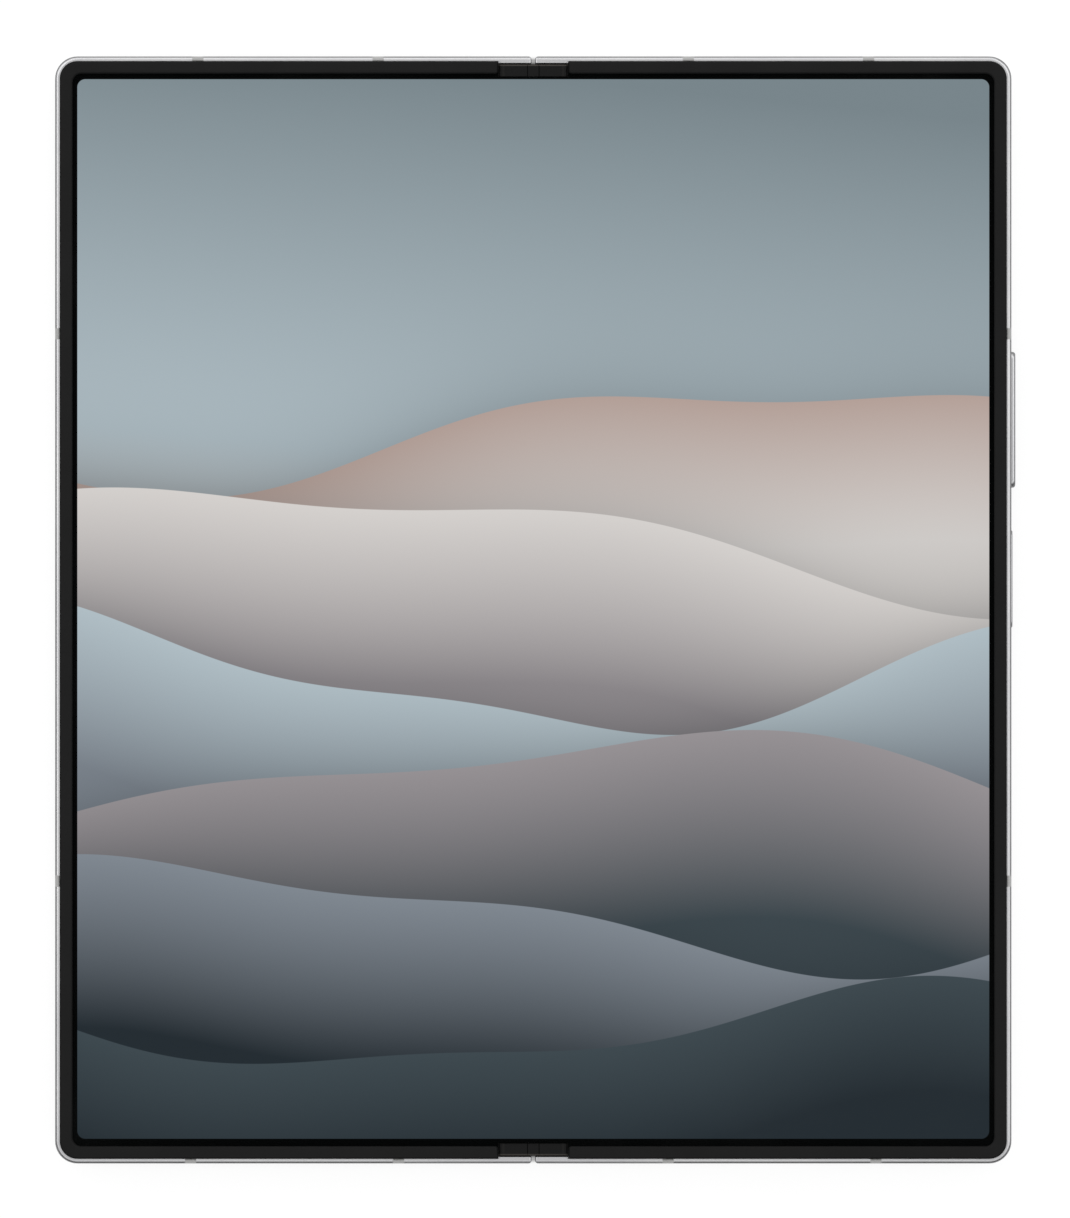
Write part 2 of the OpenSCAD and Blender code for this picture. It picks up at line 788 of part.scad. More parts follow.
module lens_rings() {
    color("dimgray") on_ground() for (y = lens_y) translate([island_x, y, 0]) rotate_extrude()
        polygon([[lens_r + island_gap, -island_h], [ring_r, -island_h], [ring_r, -ring_seat],
            [ring_step_r, -ring_seat], [ring_step_r, ring_step_z], [lens_r + island_gap, ring_step_z]]);
}

module lens_covers() {
    color("black") on_ground() for (y = lens_y) translate([island_x, y, ring_step_z - lens_t])
        cylinder(r = lens_r, h = lens_t);
}

module camera_modules() {
    color("#1c1c1e") on_ground() for (y = lens_y) {
        translate([island_x, y, ring_step_z + 0.1])
            cylinder(r = ring_step_r - 0.1, h = glass_t + bay_gap - ring_step_z);
        box(island_x - camera_w / 2, island_x + camera_w / 2, y - camera_w / 2, y + camera_w / 2,
            glass_t + bay_gap, bay_top);
    }
}

module flash_window() {
    color("white") on_ground() translate([flash_x, flash_y, 0]) cylinder(r = flash_r, h = glass_t);
}

module main_board() {
    room = camera_w / 2 + 4 * bay_gap;
    color("darkgreen") on_ground() difference() {
        box(board_x0, board_x1, board_y0, board_y1, board_z, board_z + board_t);
        box(island_x - room, half_w, lens_y[2] - room, lens_y[0] + room, 0, half_t);
        box(small_camera_x - small_camera_room, small_camera_x + small_camera_room,
            inner_camera_y - small_camera_room, inner_camera_y + small_camera_room, 0, half_t);
        for (p = right_screw_places()) translate([p[0], p[1], 0]) cylinder(r = screw_r + 0.05, h = half_t);
    }
}

// Screws that hold each board to posts under the plate
function right_screw_places() = [[board_x0 + 2, board_y0 + 2], [board_x0 + 2, board_y1 - 2],
    [island_x - camera_w / 2 - 3, board_y1 - 2]];
function left_screw_places() = [[board_x0 + 2, left_board_y0 + 2], [board_x1 - 2, left_board_y0 + 2],
    [board_x1 - 2, left_board_y1 - 2]];

module board_shields() {
    x0 = board_x0 + shield_gap - 1;
    x1 = island_x - camera_w / 2 - shield_gap;
    y0 = board_y0 + shield_gap;
    y1 = flash_y - flash_r - shield_gap;
    color("silver") on_ground() {
        box(x0, x1, y0, y1, board_z - shield_t, board_z);
        box(x0 + 1, x1 - 2, y0 + 3, y1 - 2, board_z + board_t, bay_top);
        box(x0, small_camera_x - shield_gap, board_y1 - 3 * shield_gap, board_y1 - shield_gap + 1,
            board_z + board_t, bay_top);
    }
}

module vapour_chamber() {
    color("peru") on_ground() box(board_x0 + shield_gap - 1, island_x - camera_w / 2 - 1.5,
        right_battery_y0 + right_board_reach, inner_camera_y - shield_gap,
        bay_top + slack, bay_top + slack + vapour_t);
}

module right_battery() {
    color("#333333") on_ground() box(battery_x, right_battery_x1, right_battery_y0, right_battery_y1,
        coil_z + coil_t + bay_gap / 2, bay_top);
}

module charging_coil() {
    color("peru") on_ground() translate([(battery_x + right_battery_x1) / 2,
        right_battery_y1 - coil_r - shield_gap, coil_z]) difference() {
            cylinder(r = coil_r, h = coil_t);
            translate([0, 0, -1]) cylinder(r = coil_hole_r, h = coil_t + 2);
        }
}

module usb_c_socket() {
    color("lightgray") on_ground() difference() {
        along_y(-usb_mouth, usb_depth - usb_mouth) translate([usb_x, usb_z]) stadium(usb_w, usb_h);
        along_y(-usb_mouth - 1, usb_depth - usb_mouth - usb_back) translate([usb_x, usb_z])
            stadium(usb_w - 2 * usb_wall, usb_h - 2 * usb_wall);
    }
}

module usb_c_tongue() {
    color("#222222") on_ground() box(usb_x - tongue_w / 2, usb_x + tongue_w / 2, tongue_in - usb_mouth,
        usb_depth - usb_mouth - usb_back, usb_z - tongue_t / 2, usb_z + tongue_t / 2);
}

module charge_board() {
    color("darkgreen") on_ground() box(usb_x - charge_board_w / 2, usb_x + charge_board_w / 2,
        charge_board_y, charge_board_y + charge_board_l, board_z, board_z + board_t);
}

module lower_speaker() {
    color("#2a2a2a") on_ground() box(speaker_x - speaker_side, board_x1, -speaker_y1,
        speaker_l - speaker_y1, glass_t + bay_gap, bay_top);
}

module inner_camera() {
    color("#1c1c1e") on_ground() translate([small_camera_x, inner_camera_y, 0]) {
        translate([-small_camera_w / 2, -small_camera_w / 2, glass_t + bay_gap])
            cube([small_camera_w, small_camera_w, bay_top - glass_t - bay_gap]);
        translate([0, 0, bay_top]) cylinder(r = small_lens_r, h = display_z - 0.05 - bay_top);
    }
}

module key_switches() {
    x0 = flange_x - 2 * key_travel - switch_t - 0.25;
    color("darkgoldenrod") on_ground() {
        box(x0, x0 + switch_t, power_y - power_l / 2, volume_y + volume_l / 2,
            key_z - key_w / 2, key_z + key_w / 2);
        box(x0, flange_x - key_travel - press_gap, volume_y - volume_l / 4, volume_y + volume_l / 4,
            key_z - key_w / 4, key_z + key_w / 4);
        box(x0, flange_x - power_travel - press_gap, power_y - power_l / 4, power_y + power_l / 4,
            key_z - key_w / 4, key_z + key_w / 4);
    }
}

module magnets() {
    for (y = [magnet_y, magnet_y + magnet_pitch])
        box(magnet_x, magnet_x + magnet_w, y - magnet_l / 2, y + magnet_l / 2, cover_z, bay_top);
}

module right_magnets() {
    color("gray") on_ground() magnets();
}

// Hinge screws of a half, and the screws of its board
module hinge_screws() {
    both_ends() for (s = [-1, 1]) translate([hinge_screw_x, hinge_y + s * hinge_screw_y, 0]) {
        translate([0, 0, boss_z - 1.2]) cylinder(r = screw_r, h = block_top - boss_z + 1.2);
        translate([0, 0, block_top]) cylinder(r = 1.9 * screw_r, h = 0.45);
    }
}

module board_screws(places) {
    for (p = places) translate([p[0], p[1], 0]) {
        translate([0, 0, board_z - 0.4]) cylinder(r = 2 * screw_r, h = 0.4);
        translate([0, 0, board_z]) cylinder(r = screw_r, h = board_t + 0.8);
    }
}

module screw_posts(places) {
    for (p = places) translate([p[0], p[1], board_z + board_t])
        cylinder(r = 1.4, h = plate_z + slack - board_z - board_t);
}

module screw_holes(places) {
    for (p = places) translate([p[0], p[1], board_z])
        cylinder(r = screw_r + slack, h = board_t + 0.85);
}

module right_screws() {
    color("lightgray") on_ground() {
        hinge_screws();
        board_screws(right_screw_places());
    }
}

module right_hinge_arms() {
    color("lightgray") on_ground() both_ends() hinge_arm(1);
}

module right_hinge_caps() {
    color("#202020") on_ground() hinge_cap();
}

module right_display_panel() {
    color("slategray") on_ground() display_panel();
}

// A key with a flange behind the side wall
module side_key(y, l, out) {
    along_x(flange_x, half_w + out) translate([y, key_z]) stadium(l, key_w);
    along_x(flange_x, flange_x + flange_t) translate([y, key_z])
        stadium(l + 2 * flange_over, key_w + 2 * flange_over);
}

module volume_key() {
    color("silver") on_ground() side_key(volume_y, volume_l, volume_out);
}

module power_key() {
    color("silver") on_ground() side_key(power_y, power_l, power_out);
}

module right_wing() {
    color("gray") on_ground() wing();
}

// ---- Spine ----

module upper_hinge_bracket() {
    color("gray") on_ground() hinge_bracket();
}

module lower_hinge_bracket() {
    color("gray") on_ground() mirror([0, 1, 0]) hinge_bracket();
}

module upper_left_idler() {
    color("darkgray") on_ground() on_left() idler(-1);
}

module upper_right_idler() {
    color("darkgray") on_ground() idler(1);
}

module lower_left_idler() {
    color("darkgray") on_ground() mirror([0, 1, 0]) on_left() idler(-1);
}

module lower_right_idler() {
    color("darkgray") on_ground() mirror([0, 1, 0]) idler(1);
}

// ---- Left half ----

module left_wing() {
    color("gray") on_ground() on_left() wing();
}

module left_frame() {
    color("silver") on_ground() on_left() difference() {
        union() {
            half_frame();
            screw_posts(left_screw_places());
        }
        screw_holes(left_screw_places());
        speaker_holes(1);
        along_x(bay_out - 0.5, half_w + 1) translate([sim_y, sim_z])
            stadium(sim_l + 2 * key_gap, sim_w + 2 * key_gap);
    }
}

module left_antenna_breaks() {
    color("gray") on_ground() on_left() antenna_breaks();
}

module left_rim() {
    color("#212121") on_ground() on_left() rim();
}

module cover_glass() {
    color("#101214") on_ground() on_left() back_glass();
}

module cover_display_panel() {
    color("#16181a") on_ground() on_left() difference() {
        layer(rail_t + bay_gap, corner_r - rail_t - bay_gap, glass_in + 1, glass_t, glass_t + cover_panel_t);
        box(0, bay_in + bay_gap, -half_h, half_h, 0, half_t);
        both_ends() box(0, boss_out + 0.1, hinge_y - pocket_y - 0.9, hinge_y + pocket_y + 0.9, 0, half_t);
        translate([small_camera_x, cover_camera_y, 0]) cylinder(r = small_lens_r + 0.2, h = half_t);
    }
}

module cover_camera() {
    color("#1c1c1e") on_ground() on_left() translate([small_camera_x, cover_camera_y, 0]) {
        translate([0, 0, glass_t + 0.05]) cylinder(r = small_lens_r, h = cover_z - glass_t);
        translate([-small_camera_w / 2, -small_camera_w / 2, cover_z])
            cube([small_camera_w, small_camera_w, bay_top - cover_z]);
    }
}

module left_battery() {
    color("#333333") on_ground() on_left() box(battery_x, left_battery_x1,
        left_battery_y0, left_battery_y1, cover_z, bay_top);
}

module sub_board() {
    color("darkgreen") on_ground() on_left() difference() {
        union() {
            box(board_x0, board_x1, left_board_y0, left_board_y1, board_z, board_z + board_t);
            box(board_x0 + shield_gap, board_x1 / 2, left_board_y0 + 2, left_board_y1 - 3, board_z, bay_top);
        }
        for (p = left_screw_places()) translate([p[0], p[1], 0]) cylinder(r = screw_r + 0.05, h = half_t);
    }
}

module upper_speaker() {
    color("#2a2a2a") on_ground() on_left() box(speaker_x - speaker_side, board_x1,
        speaker_y1 - speaker_l, speaker_y1, cover_z, bay_top);
}

module vibration_motor() {
    color("silver") on_ground() on_left() box(left_battery_x1 + battery_gap,
        left_battery_x1 + battery_gap + motor_w, motor_y, motor_y + motor_l, cover_z, bay_top);
}

// Cage round the SIM tray, open towards the side wall
module sim_slot() {
    w = sim_bed_w + 2 * sim_gap;
    x0 = half_w - sim_depth - sim_gap;
    color("lightgray") on_ground() on_left() difference() {
        box(x0 - sim_cage_wall, bay_out - 0.1, sim_y - w / 2 - sim_cage_wall,
            sim_y + w / 2 + sim_cage_wall, sim_z - sim_w / 2, sim_z + sim_w / 2);
        box(x0, half_w, sim_y - w / 2, sim_y + w / 2, sim_z - sim_bed_t / 2 - 0.1,
            sim_z + sim_bed_t / 2 + 0.1);
    }
}

module left_magnets() {
    color("gray") on_ground() on_left() magnets();
}

module left_screws() {
    color("lightgray") on_ground() on_left() {
        hinge_screws();
        board_screws(left_screw_places());
    }
}

module left_hinge_arms() {
    color("lightgray") on_ground() both_ends() on_left() hinge_arm(-1);
}

module left_hinge_caps() {
    color("#202020") on_ground() on_left() hinge_cap();
}

module left_display_panel() {
    color("slategray") on_ground() on_left() display_panel();
}

// Tray with a round-ended front, a bed for the card and the eject hole
module sim_tray() {
    color("silver") on_ground() on_left() difference() {
        union() {
            along_x(half_w - sim_front_t, half_w) translate([sim_y, sim_z]) stadium(sim_l, sim_w);
            box(half_w - sim_depth, half_w - sim_front_t + 0.1, sim_y - sim_bed_w / 2,
                sim_y + sim_bed_w / 2, sim_z - sim_bed_t / 2, sim_z + sim_bed_t / 2);
        }
        box(half_w - 2.6 - card_l, half_w - 2.6, sim_y - card_w / 2, sim_y + card_w / 2,
            sim_z + sim_bed_t / 2 - card_t, sim_z + sim_w);
        translate([half_w, sim_y + sim_l / 2 - 1.15, sim_z]) rotate([0, 90, 0])
            cylinder(r = eject_r, h = 2 * sim_front_t, center = true);
    }
}

right_frame();
right_antenna_breaks();
right_rim();
rear_glass();
camera_island();
lens_rings();
lens_covers();
camera_modules();
flash_window();
main_board();
board_shields();
vapour_chamber();
right_battery();
charging_coil();
usb_c_socket();
usb_c_tongue();
charge_board();
lower_speaker();
inner_camera();
key_switches();
right_magnets();
right_screws();
right_hinge_arms();
right_hinge_caps();
right_display_panel();
volume_key();
power_key();
right_wing();
spine_cover();
upper_hinge_bracket();
lower_hinge_bracket();
gear_pins();
centre_caps();
hinge_flex_cables();
display_fold();
upper_left_idler();
upper_right_idler();
lower_left_idler();
lower_right_idler();
left_wing();
left_frame();
left_antenna_breaks();
left_rim();
cover_glass();
cover_display_panel();
cover_camera();
left_battery();
sub_board();
upper_speaker();
vibration_motor();
sim_slot();
left_magnets();
left_screws();
left_hinge_arms();
left_hinge_caps();
left_display_panel();
sim_tray();
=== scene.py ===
"""Looks of a foldable smartphone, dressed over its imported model.

Every length in the code is in millimetres until it enters a mesh, which holds metres. The phone
lies open with its back down: X runs across the fold, Y along it and Z up, out of the display.
"""

import contextlib
import json
import math

import bmesh
import bpy
import numpy as np
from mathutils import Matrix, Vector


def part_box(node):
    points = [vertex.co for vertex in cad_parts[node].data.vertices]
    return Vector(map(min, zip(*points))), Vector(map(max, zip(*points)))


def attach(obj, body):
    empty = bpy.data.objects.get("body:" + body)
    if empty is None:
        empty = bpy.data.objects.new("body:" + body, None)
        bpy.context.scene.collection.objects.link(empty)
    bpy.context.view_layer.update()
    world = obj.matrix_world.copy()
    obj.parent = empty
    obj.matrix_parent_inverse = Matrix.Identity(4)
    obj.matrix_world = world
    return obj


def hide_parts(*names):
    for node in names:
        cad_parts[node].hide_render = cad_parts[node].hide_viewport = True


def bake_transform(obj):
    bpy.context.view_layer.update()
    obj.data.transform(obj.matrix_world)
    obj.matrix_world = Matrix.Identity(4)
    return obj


bl_info = {
    "name": "Foldable Smartphone",
    "version": (1, 0, 0),
    "blender": (4, 5, 0),
    "location": "View3D > Sidebar > Phone",
    "description": "Finishes and fine shapes of a foldable smartphone",
    "category": "Object",
}

MM = 0.001
ART_SPAN = 160.0  # covered by the display's UV square
WELD = 0.0005  # points this close in a made mesh become one
CAD_WELD = 0.002  # and in a copy of a CAD mesh
TURN_STEPS = 96  # points round a turned piece
HALF_Y = 76.75  # from the middle to the end faces of the frames

# the fold: its two axes, the half height of the caps on them, and where the caps end
AXIS_X, AXIS_Z = 1.9, 5.75
CAP_HALF = 0.75
CAP_OUT = 75.4

# the photograph's frame: its height and middle at the display, which lies this high up
FRAME_HEIGHT = 168.82
CAMERA_X, CAMERA_Y = 0.24, 0.135
DISPLAY_Z = 7.0

FRAME_END_ROUND = 0.3  # radius of the frames' upper edge at the fold

# the outer display: its middle line, the half sizes of its lit area, and its camera
COVER_X = -37.0
COVER_LIT = (26.2, 71.6)
COVER_CAMERA = (-34.95, 66.45)

# the cameras: where the housings start, and how deep the elements' tops and edges lie in them
BOX_FRONT = 2.4
BARREL_RADIUS = 4.3
ELEMENT_APEX, ELEMENT_EDGE = 0.45, 0.85

# holes in the frames' end faces: height, depth of the mesh in them, and the speakers' row
HOLE_Z = 3.9
MESH_DEPTH = 0.8
SPEAKER_X, SPEAKER_PITCH, SPEAKER_COUNT, SPEAKER_MESH_R = 50.5, 1.8, 6, 0.54
PINHOLES = ((24.0, -1), (30.0, 1))
PINHOLE_MESH_R = 0.37

SIDES = {"right": 1, "left": -1}

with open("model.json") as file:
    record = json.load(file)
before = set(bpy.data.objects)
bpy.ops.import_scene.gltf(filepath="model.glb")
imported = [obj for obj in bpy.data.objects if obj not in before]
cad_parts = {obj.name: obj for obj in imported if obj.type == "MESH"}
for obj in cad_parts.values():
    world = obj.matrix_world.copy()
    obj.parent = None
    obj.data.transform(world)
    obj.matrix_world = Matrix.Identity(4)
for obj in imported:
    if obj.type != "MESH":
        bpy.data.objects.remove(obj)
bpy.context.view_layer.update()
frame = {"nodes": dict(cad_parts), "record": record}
BODY_OF = {
    node: body
    for body, nodes in frame["record"]["behaviour"]["bodies"].items()
    for node in nodes
}


# ---- Colours ----


def tone(red, green, blue):
    """A colour written in 0-255 display values, turned to linear light with alpha 1."""
    srgb = np.array([red, green, blue]) / 255
    light = np.where(srgb <= 0.04045, srgb / 12.92, ((srgb + 0.055) / 1.055) ** 2.4)
    return (*light.tolist(), 1.0)


def colour_property(label, text, value):
    """A colour that a user may change, with a linear default."""
    return bpy.props.FloatVectorProperty(
        name=label, description=text, default=tone(*value), size=4, min=0, max=1, subtype="COLOR"
    )


def length_property(label, text, value):
    """A length in millimetres that a user may change."""
    return bpy.props.FloatProperty(name=label, description=text, default=value, min=0, precision=3)


# ---- Shader maths ----


def both_ways(operation):
    """Two Wire methods for a Math node: with the wire before the other value, and after it."""
    return (
        lambda wire, other: wire.maths(operation, wire, other),
        lambda wire, other: wire.maths(operation, other, wire),
    )


class Wire:
    """A socket of a node tree; arithmetic on it adds Math nodes."""

    def __init__(self, tree, socket):
        self.tree = tree
        self.socket = socket

    def maths(self, operation, *values):
        """One Math node with the given operation on these values or wires."""
        made = self.tree.nodes.new("ShaderNodeMath")
        made.operation = operation
        for slot, value in zip(made.inputs, values):
            if isinstance(value, Wire):
                self.tree.links.new(value.socket, slot)
            else:
                slot.default_value = value
        return Wire(self.tree, made.outputs[0])

    __add__, __radd__ = both_ways("ADD")
    __sub__, __rsub__ = both_ways("SUBTRACT")
    __mul__, __rmul__ = both_ways("MULTIPLY")
    __truediv__, __rtruediv__ = both_ways("DIVIDE")
    __pow__, __rpow__ = both_ways("POWER")

    def __abs__(self):
        return self.maths("ABSOLUTE", self)

    def sine(self):
        return self.maths("SINE", self)

    def at_least(self, other):
        return self.maths("MAXIMUM", self, other)

    def at_most(self, other):
        return self.maths("MINIMUM", self, other)

    def within_one(self):
        """The value held between 0 and 1."""
        return self.at_least(0.0).at_most(1.0)

    def step(self, start, end):
        """0 before start, 1 after end, and 3t^2 - 2t^3 between them; start may be past end."""
        part = ((self - start) / (end - start)).within_one()
        return part * part * (3.0 - 2.0 * part)


class Nodes:
    """A node tree under construction."""

    def __init__(self, tree):
        self.tree = tree

    def feed(self, made, **values):
        """Sets or links inputs of a node: _3 is input 3, else an underscore stands for a space."""
        for key, value in values.items():
            by_number = key[1:].isdigit()
            slot = made.inputs[int(key[1:]) if by_number else key.replace("_", " ")]
            if isinstance(value, Wire):
                self.tree.links.new(value.socket, slot)
            else:
                slot.default_value = value

    def node(self, kind, settings=None, output=0, **values):
        """Adds a node: its settings first, then its inputs; stops fills a ramp."""
        made = self.tree.nodes.new("ShaderNode" + kind)
        for key, value in (settings or {}).items():
            if key == "stops":
                ramp = made.color_ramp
                while len(ramp.elements) < len(value):
                    ramp.elements.new(0.5)
                for element, (place, colour) in zip(ramp.elements, value):
                    element.position = place
                    element.color = colour
            else:
                setattr(made, key, value)
        self.feed(made, **values)
        return Wire(self.tree, made.outputs[output])

    def split(self, vector):
        """The three parts of a vector."""
        parts = self.node("SeparateXYZ", _0=vector).socket.node.outputs
        return [Wire(self.tree, part) for part in parts]

    def rays(self):
        """Whether a ray comes from the camera, from gloss, and through something clear."""
        return [self.node("LightPath", output=ray) for ray in (0, 3, 6)]


class Finish(Nodes):
    """A material under construction round one Principled shader."""

    def __init__(self, name):
        self.material = bpy.data.materials.new(name)
        self.material.use_nodes = True
        super().__init__(self.material.node_tree)
        self.shader = self.tree.nodes["Principled BSDF"]

    def place(self):
        """The three object coordinates in millimetres."""
        return [part * (1 / MM) for part in self.split(self.node("TexCoord", output=3))]

    def noise(self, scale, detail=3.0, roughness=0.5, stretch=(1.0, 1.0, 1.0)):
        """Noise on object coordinates with a feature about 1/scale metres across."""
        spot = self.node("Mapping", Vector=self.node("TexCoord", output=3), Scale=stretch)
        return self.node("TexNoise", Vector=spot, Scale=scale, Detail=detail, Roughness=roughness)

    def mix(self, factor, first, second):
        """Two colours mixed by a factor."""
        return self.node("Mix", {"data_type": "RGBA"}, 2, _0=factor, _6=first, _7=second)

    def bump(self, height, distance):
        """A Bump node on a height from 0 to 1, worth a distance in millimetres."""
        return self.node("Bump", Height=height, Distance=distance * MM, Strength=1.0)

    def set(self, **values):
        """Sets or links inputs of the Principled shader."""
        self.feed(self.shader, **values)


def length(x, y):
    """Length of the way with these two parts."""
    return (x * x + y * y) ** 0.5


def shaded(colour, share):
    """A colour made darker or lighter, with alpha 1."""
    return (*(part * share for part in colour[:3]), 1.0)


def grained(made, colour, second, rough, grain, metallic=0.0, depth=0.004):
    """Gives a finish a soft change of colour and roughness, and a fine grain in its surface."""
    cloud = made.noise(60.0, 4.0)
    fine = made.noise(grain, 2.0, 0.6)
    made.set(
        Base_Color=made.mix(cloud.step(0.35, 0.65), colour, second),
        Roughness=cloud * 0.08 + (rough - 0.04) + (fine - 0.5) * 0.06,
        Normal=made.bump(fine, depth),
        Metallic=metallic,
    )


# ---- Meshes ----


def grid_faces(rows, columns, wrap=False):
    """Four-sided faces of a grid of points numbered row by row; a wrapped row meets its start."""
    start = np.arange(rows - 1)[:, None] * columns
    column = np.arange(columns if wrap else columns - 1)
    here, beside = start + column, start + (column + 1) % columns
    corners = (here, beside, beside + columns, here + columns)
    return np.stack([corner.ravel() for corner in corners], 1)


class Shape:
    """Points and faces gathered from several surfaces before they become one mesh."""

    def __init__(self):
        self.points = []
        self.faces = []
        self.count = 0

    def add(self, points, faces):
        """Adds points in millimetres, and faces whose numbers start at the first of them."""
        self.faces.extend((faces + self.count).tolist())
        self.points.append(points)
        self.count += len(points)
        return self

    def grid(self, points, wrap=False):
        """Adds a surface given as an array of rows, columns and 3 coordinates."""
        return self.add(points.reshape(-1, 3), grid_faces(*points.shape[:2], wrap))

    def loft(self, rings):
        """Adds closed rings of points joined one to the next, with a flat face over each end."""
        first, columns = self.count, rings.shape[1]
        self.grid(rings, wrap=True)
        self.faces.append(list(range(first + columns - 1, first - 1, -1)))
        self.faces.append(list(range(self.count - columns, self.count)))
        return self

    def block(self, low, high):
        """Adds a box between two corners."""
        x = np.array([low[0], high[0], high[0], low[0]])
        y = np.array([low[1], low[1], high[1], high[1]])
        rings = np.stack([np.stack([x, y, np.full(4, z)], 1) for z in (low[2], high[2])])
        return self.loft(rings)

    def mesh(self, name):
        """The gathered surfaces as one mesh, its doubled points merged and its faces outward."""
        mesh = bpy.data.meshes.new(name)
        mesh.from_pydata((np.concatenate(self.points) * MM).tolist(), [], self.faces)
        with edited(mesh) as work:
            bmesh.ops.remove_doubles(work, verts=work.verts, dist=WELD * MM)
            bmesh.ops.recalc_face_normals(work, faces=work.faces)
            if work.calc_volume(signed=True) < 0:
                bmesh.ops.reverse_faces(work, faces=work.faces)
        return mesh

    def piece(self, name, look, body, node=None, edge=35.0):
        """Makes the mesh object in a finish, on a body, for a CAD node."""
        return dress(name, self.mesh(name), look, body, node, edge)


@contextlib.contextmanager
def edited(mesh):
    """The mesh's points, edges and faces to edit, put back into it afterwards."""
    work = bmesh.new()
    work.from_mesh(mesh)
    yield work
    work.to_mesh(mesh)
    work.free()


def placed(name, data):
    """A new object in the scene."""
    made = bpy.data.objects.new(name, data)
    bpy.context.scene.collection.objects.link(made)
    return made


def dress(name, mesh, look, body, node=None, edge=35.0, bevel=0.0):
    """An object for a mesh in a finish, shaded smooth up to an angle, riding on a body.

    Where it stands for a CAD node, it hides the node.
    """
    mesh.shade_smooth()
    mesh.set_sharp_from_angle(angle=math.radians(edge))
    mesh.materials.clear()
    mesh.materials.append(finish(look))
    made = placed(name, mesh)
    if bevel:
        soft = made.modifiers.new("soft_edges", "BEVEL")
        soft.width = bevel * MM
        soft.segments = 2
        soft.limit_method = "ANGLE"
        soft.angle_limit = math.radians(edge)
        soft.harden_normals = True
    even = made.modifiers.new("even_normals", "WEIGHTED_NORMAL")
    even.keep_sharp = True
    if body:
        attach(made, body)
    if node:
        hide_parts(node)
    return made


def soft_copy(node, name, look, edge=35.0, bevel=0.0, reshape=None):
    """A merged copy of a CAD node with smooth curves and softened edges, standing for it."""
    mesh = frame["nodes"][node].data.copy()
    with edited(mesh) as work:
        bmesh.ops.remove_doubles(work, verts=work.verts, dist=CAD_WELD * MM)
        bmesh.ops.dissolve_limit(
            work, angle_limit=math.radians(0.4), verts=work.verts, edges=work.edges
        )
        if reshape:
            reshape(work)
    dress(name, mesh, look, BODY_OF[node], node, edge, bevel)


def paint(look, *nodes):
    """Gives CAD nodes that keep their shape a finish."""
    for node in nodes:
        held = frame["nodes"][node]
        held.data.materials.clear()
        held.data.materials.append(finish(look))


def extent(node):
    """Lowest and highest corner of a CAD node in millimetres, as two arrays."""
    low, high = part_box(node)
    return np.array(low) / MM, np.array(high) / MM


def corner_arc(centre, radius, start, end, steps):
    """Points of an arc about a centre, from one angle to another in degrees."""
    angle = np.radians(np.linspace(start, end, steps))
    return np.stack([centre[0] + radius * np.cos(angle), centre[1] + radius * np.sin(angle)], 1)


def stadium(centre, half_l, half_w):
    """Outline of a bar with round ends: four quarter circles of its half width, two at each end."""
    reach = half_l - half_w
    arcs = [
        corner_arc((centre[0] + end * reach, centre[1]), half_w, turn, turn + 90, 12)
        for end, turn in ((1, 0), (-1, 90), (-1, 180), (1, 270))
    ]
    return np.concatenate(arcs)


def turned_rings(centre, profile):
    """Rings of a profile of (radius, height) pairs carried round a vertical axis."""
    angle = np.linspace(0, 2 * np.pi, TURN_STEPS, endpoint=False)
    radius, height = np.array(profile, float).T
    x = centre[0] + radius[:, None] * np.cos(angle)
    y = centre[1] + radius[:, None] * np.sin(angle)
    return np.stack([x, y, np.broadcast_to(height[:, None], x.shape)], 2)


# ---- Values a user may change ----


class PHONE_PG_display(bpy.types.PropertyGroup):
    """Inner display: its lit area and the colours of the picture."""

    lit_x: length_property("Lit half width", "Half the width of the lit area", 63.2)
    lit_top: length_property("Lit top", "Upper edge of the lit area above the middle", 73.57)
    lit_bottom: length_property("Lit bottom", "Lower edge of the lit area below the middle", 73.3)
    lit_corner: length_property("Lit corner", "Radius of the lit area's corners", 1.1)
    black: colour_property("Border", "Colour of the unlit border", (5, 6, 6))
    sky: colour_property("Sky", "Top of the picture", (120, 133, 139))
    dawn: colour_property("Dawn", "Foot of the sky", (213, 209, 206))
    blush: colour_property("Blush", "Warm band", (180, 160, 152))
    mauve: colour_property("Mauve", "Middle band", (150, 145, 148))
    slate: colour_property("Slate", "Cool band", (128, 136, 145))
    ice: colour_property("Ice", "Pale blue band", (176, 190, 197))
    dusk: colour_property("Dusk", "Lower band", (62, 73, 79))
    night: colour_property("Night", "Foot of the picture", (36, 44, 50))


class PHONE_PG_body(bpy.types.PropertyGroup):
    """Body: colours of the metal, plastics and glass."""

    metal: colour_property("Metal", "Frames, keys and spine", (206, 206, 207))
    metal_low: colour_property("Metal, darker", "Soft shade in the metal", (196, 196, 198))
    breaks: colour_property("Antenna breaks", "Plastic strips in the frame", (178, 178, 177))
    rim: colour_property("Rim", "Raised rim round the display", (21, 21, 21))
    cap: colour_property("Hinge cap", "Caps at the ends of the fold", (12, 12, 12))
    # painted highlight: a paler colour standing in for light caught on the caps' rounded outer edge
    cap_edge_highlight: colour_property("Cap edge", "Worn outer edge of the hinge caps", (64, 61, 58))
    back: colour_property("Rear glass", "Frosted glass of the back", (168, 171, 175))
    rim_round: length_property("Rim rounding", "Radius of the rim's long edges", 0.3)
    rim_end_round: length_property("Rim end", "Radius at the rim's ends by the fold", 0.5)
    rim_corner: length_property("Rim corner", "Inner radius of the rim's corners", 1.25)


def display_values():
    return bpy.context.scene.phone_display


def body_values():
    return bpy.context.scene.phone_body


# ---- Finishes ----

FINISHES = {}


def finish(name):
    """A finished material by name, made once."""
    if name not in FINISHES:
        made = Finish(name)
        RECIPES[name](made)
        FINISHES[name] = made.material
    return FINISHES[name]


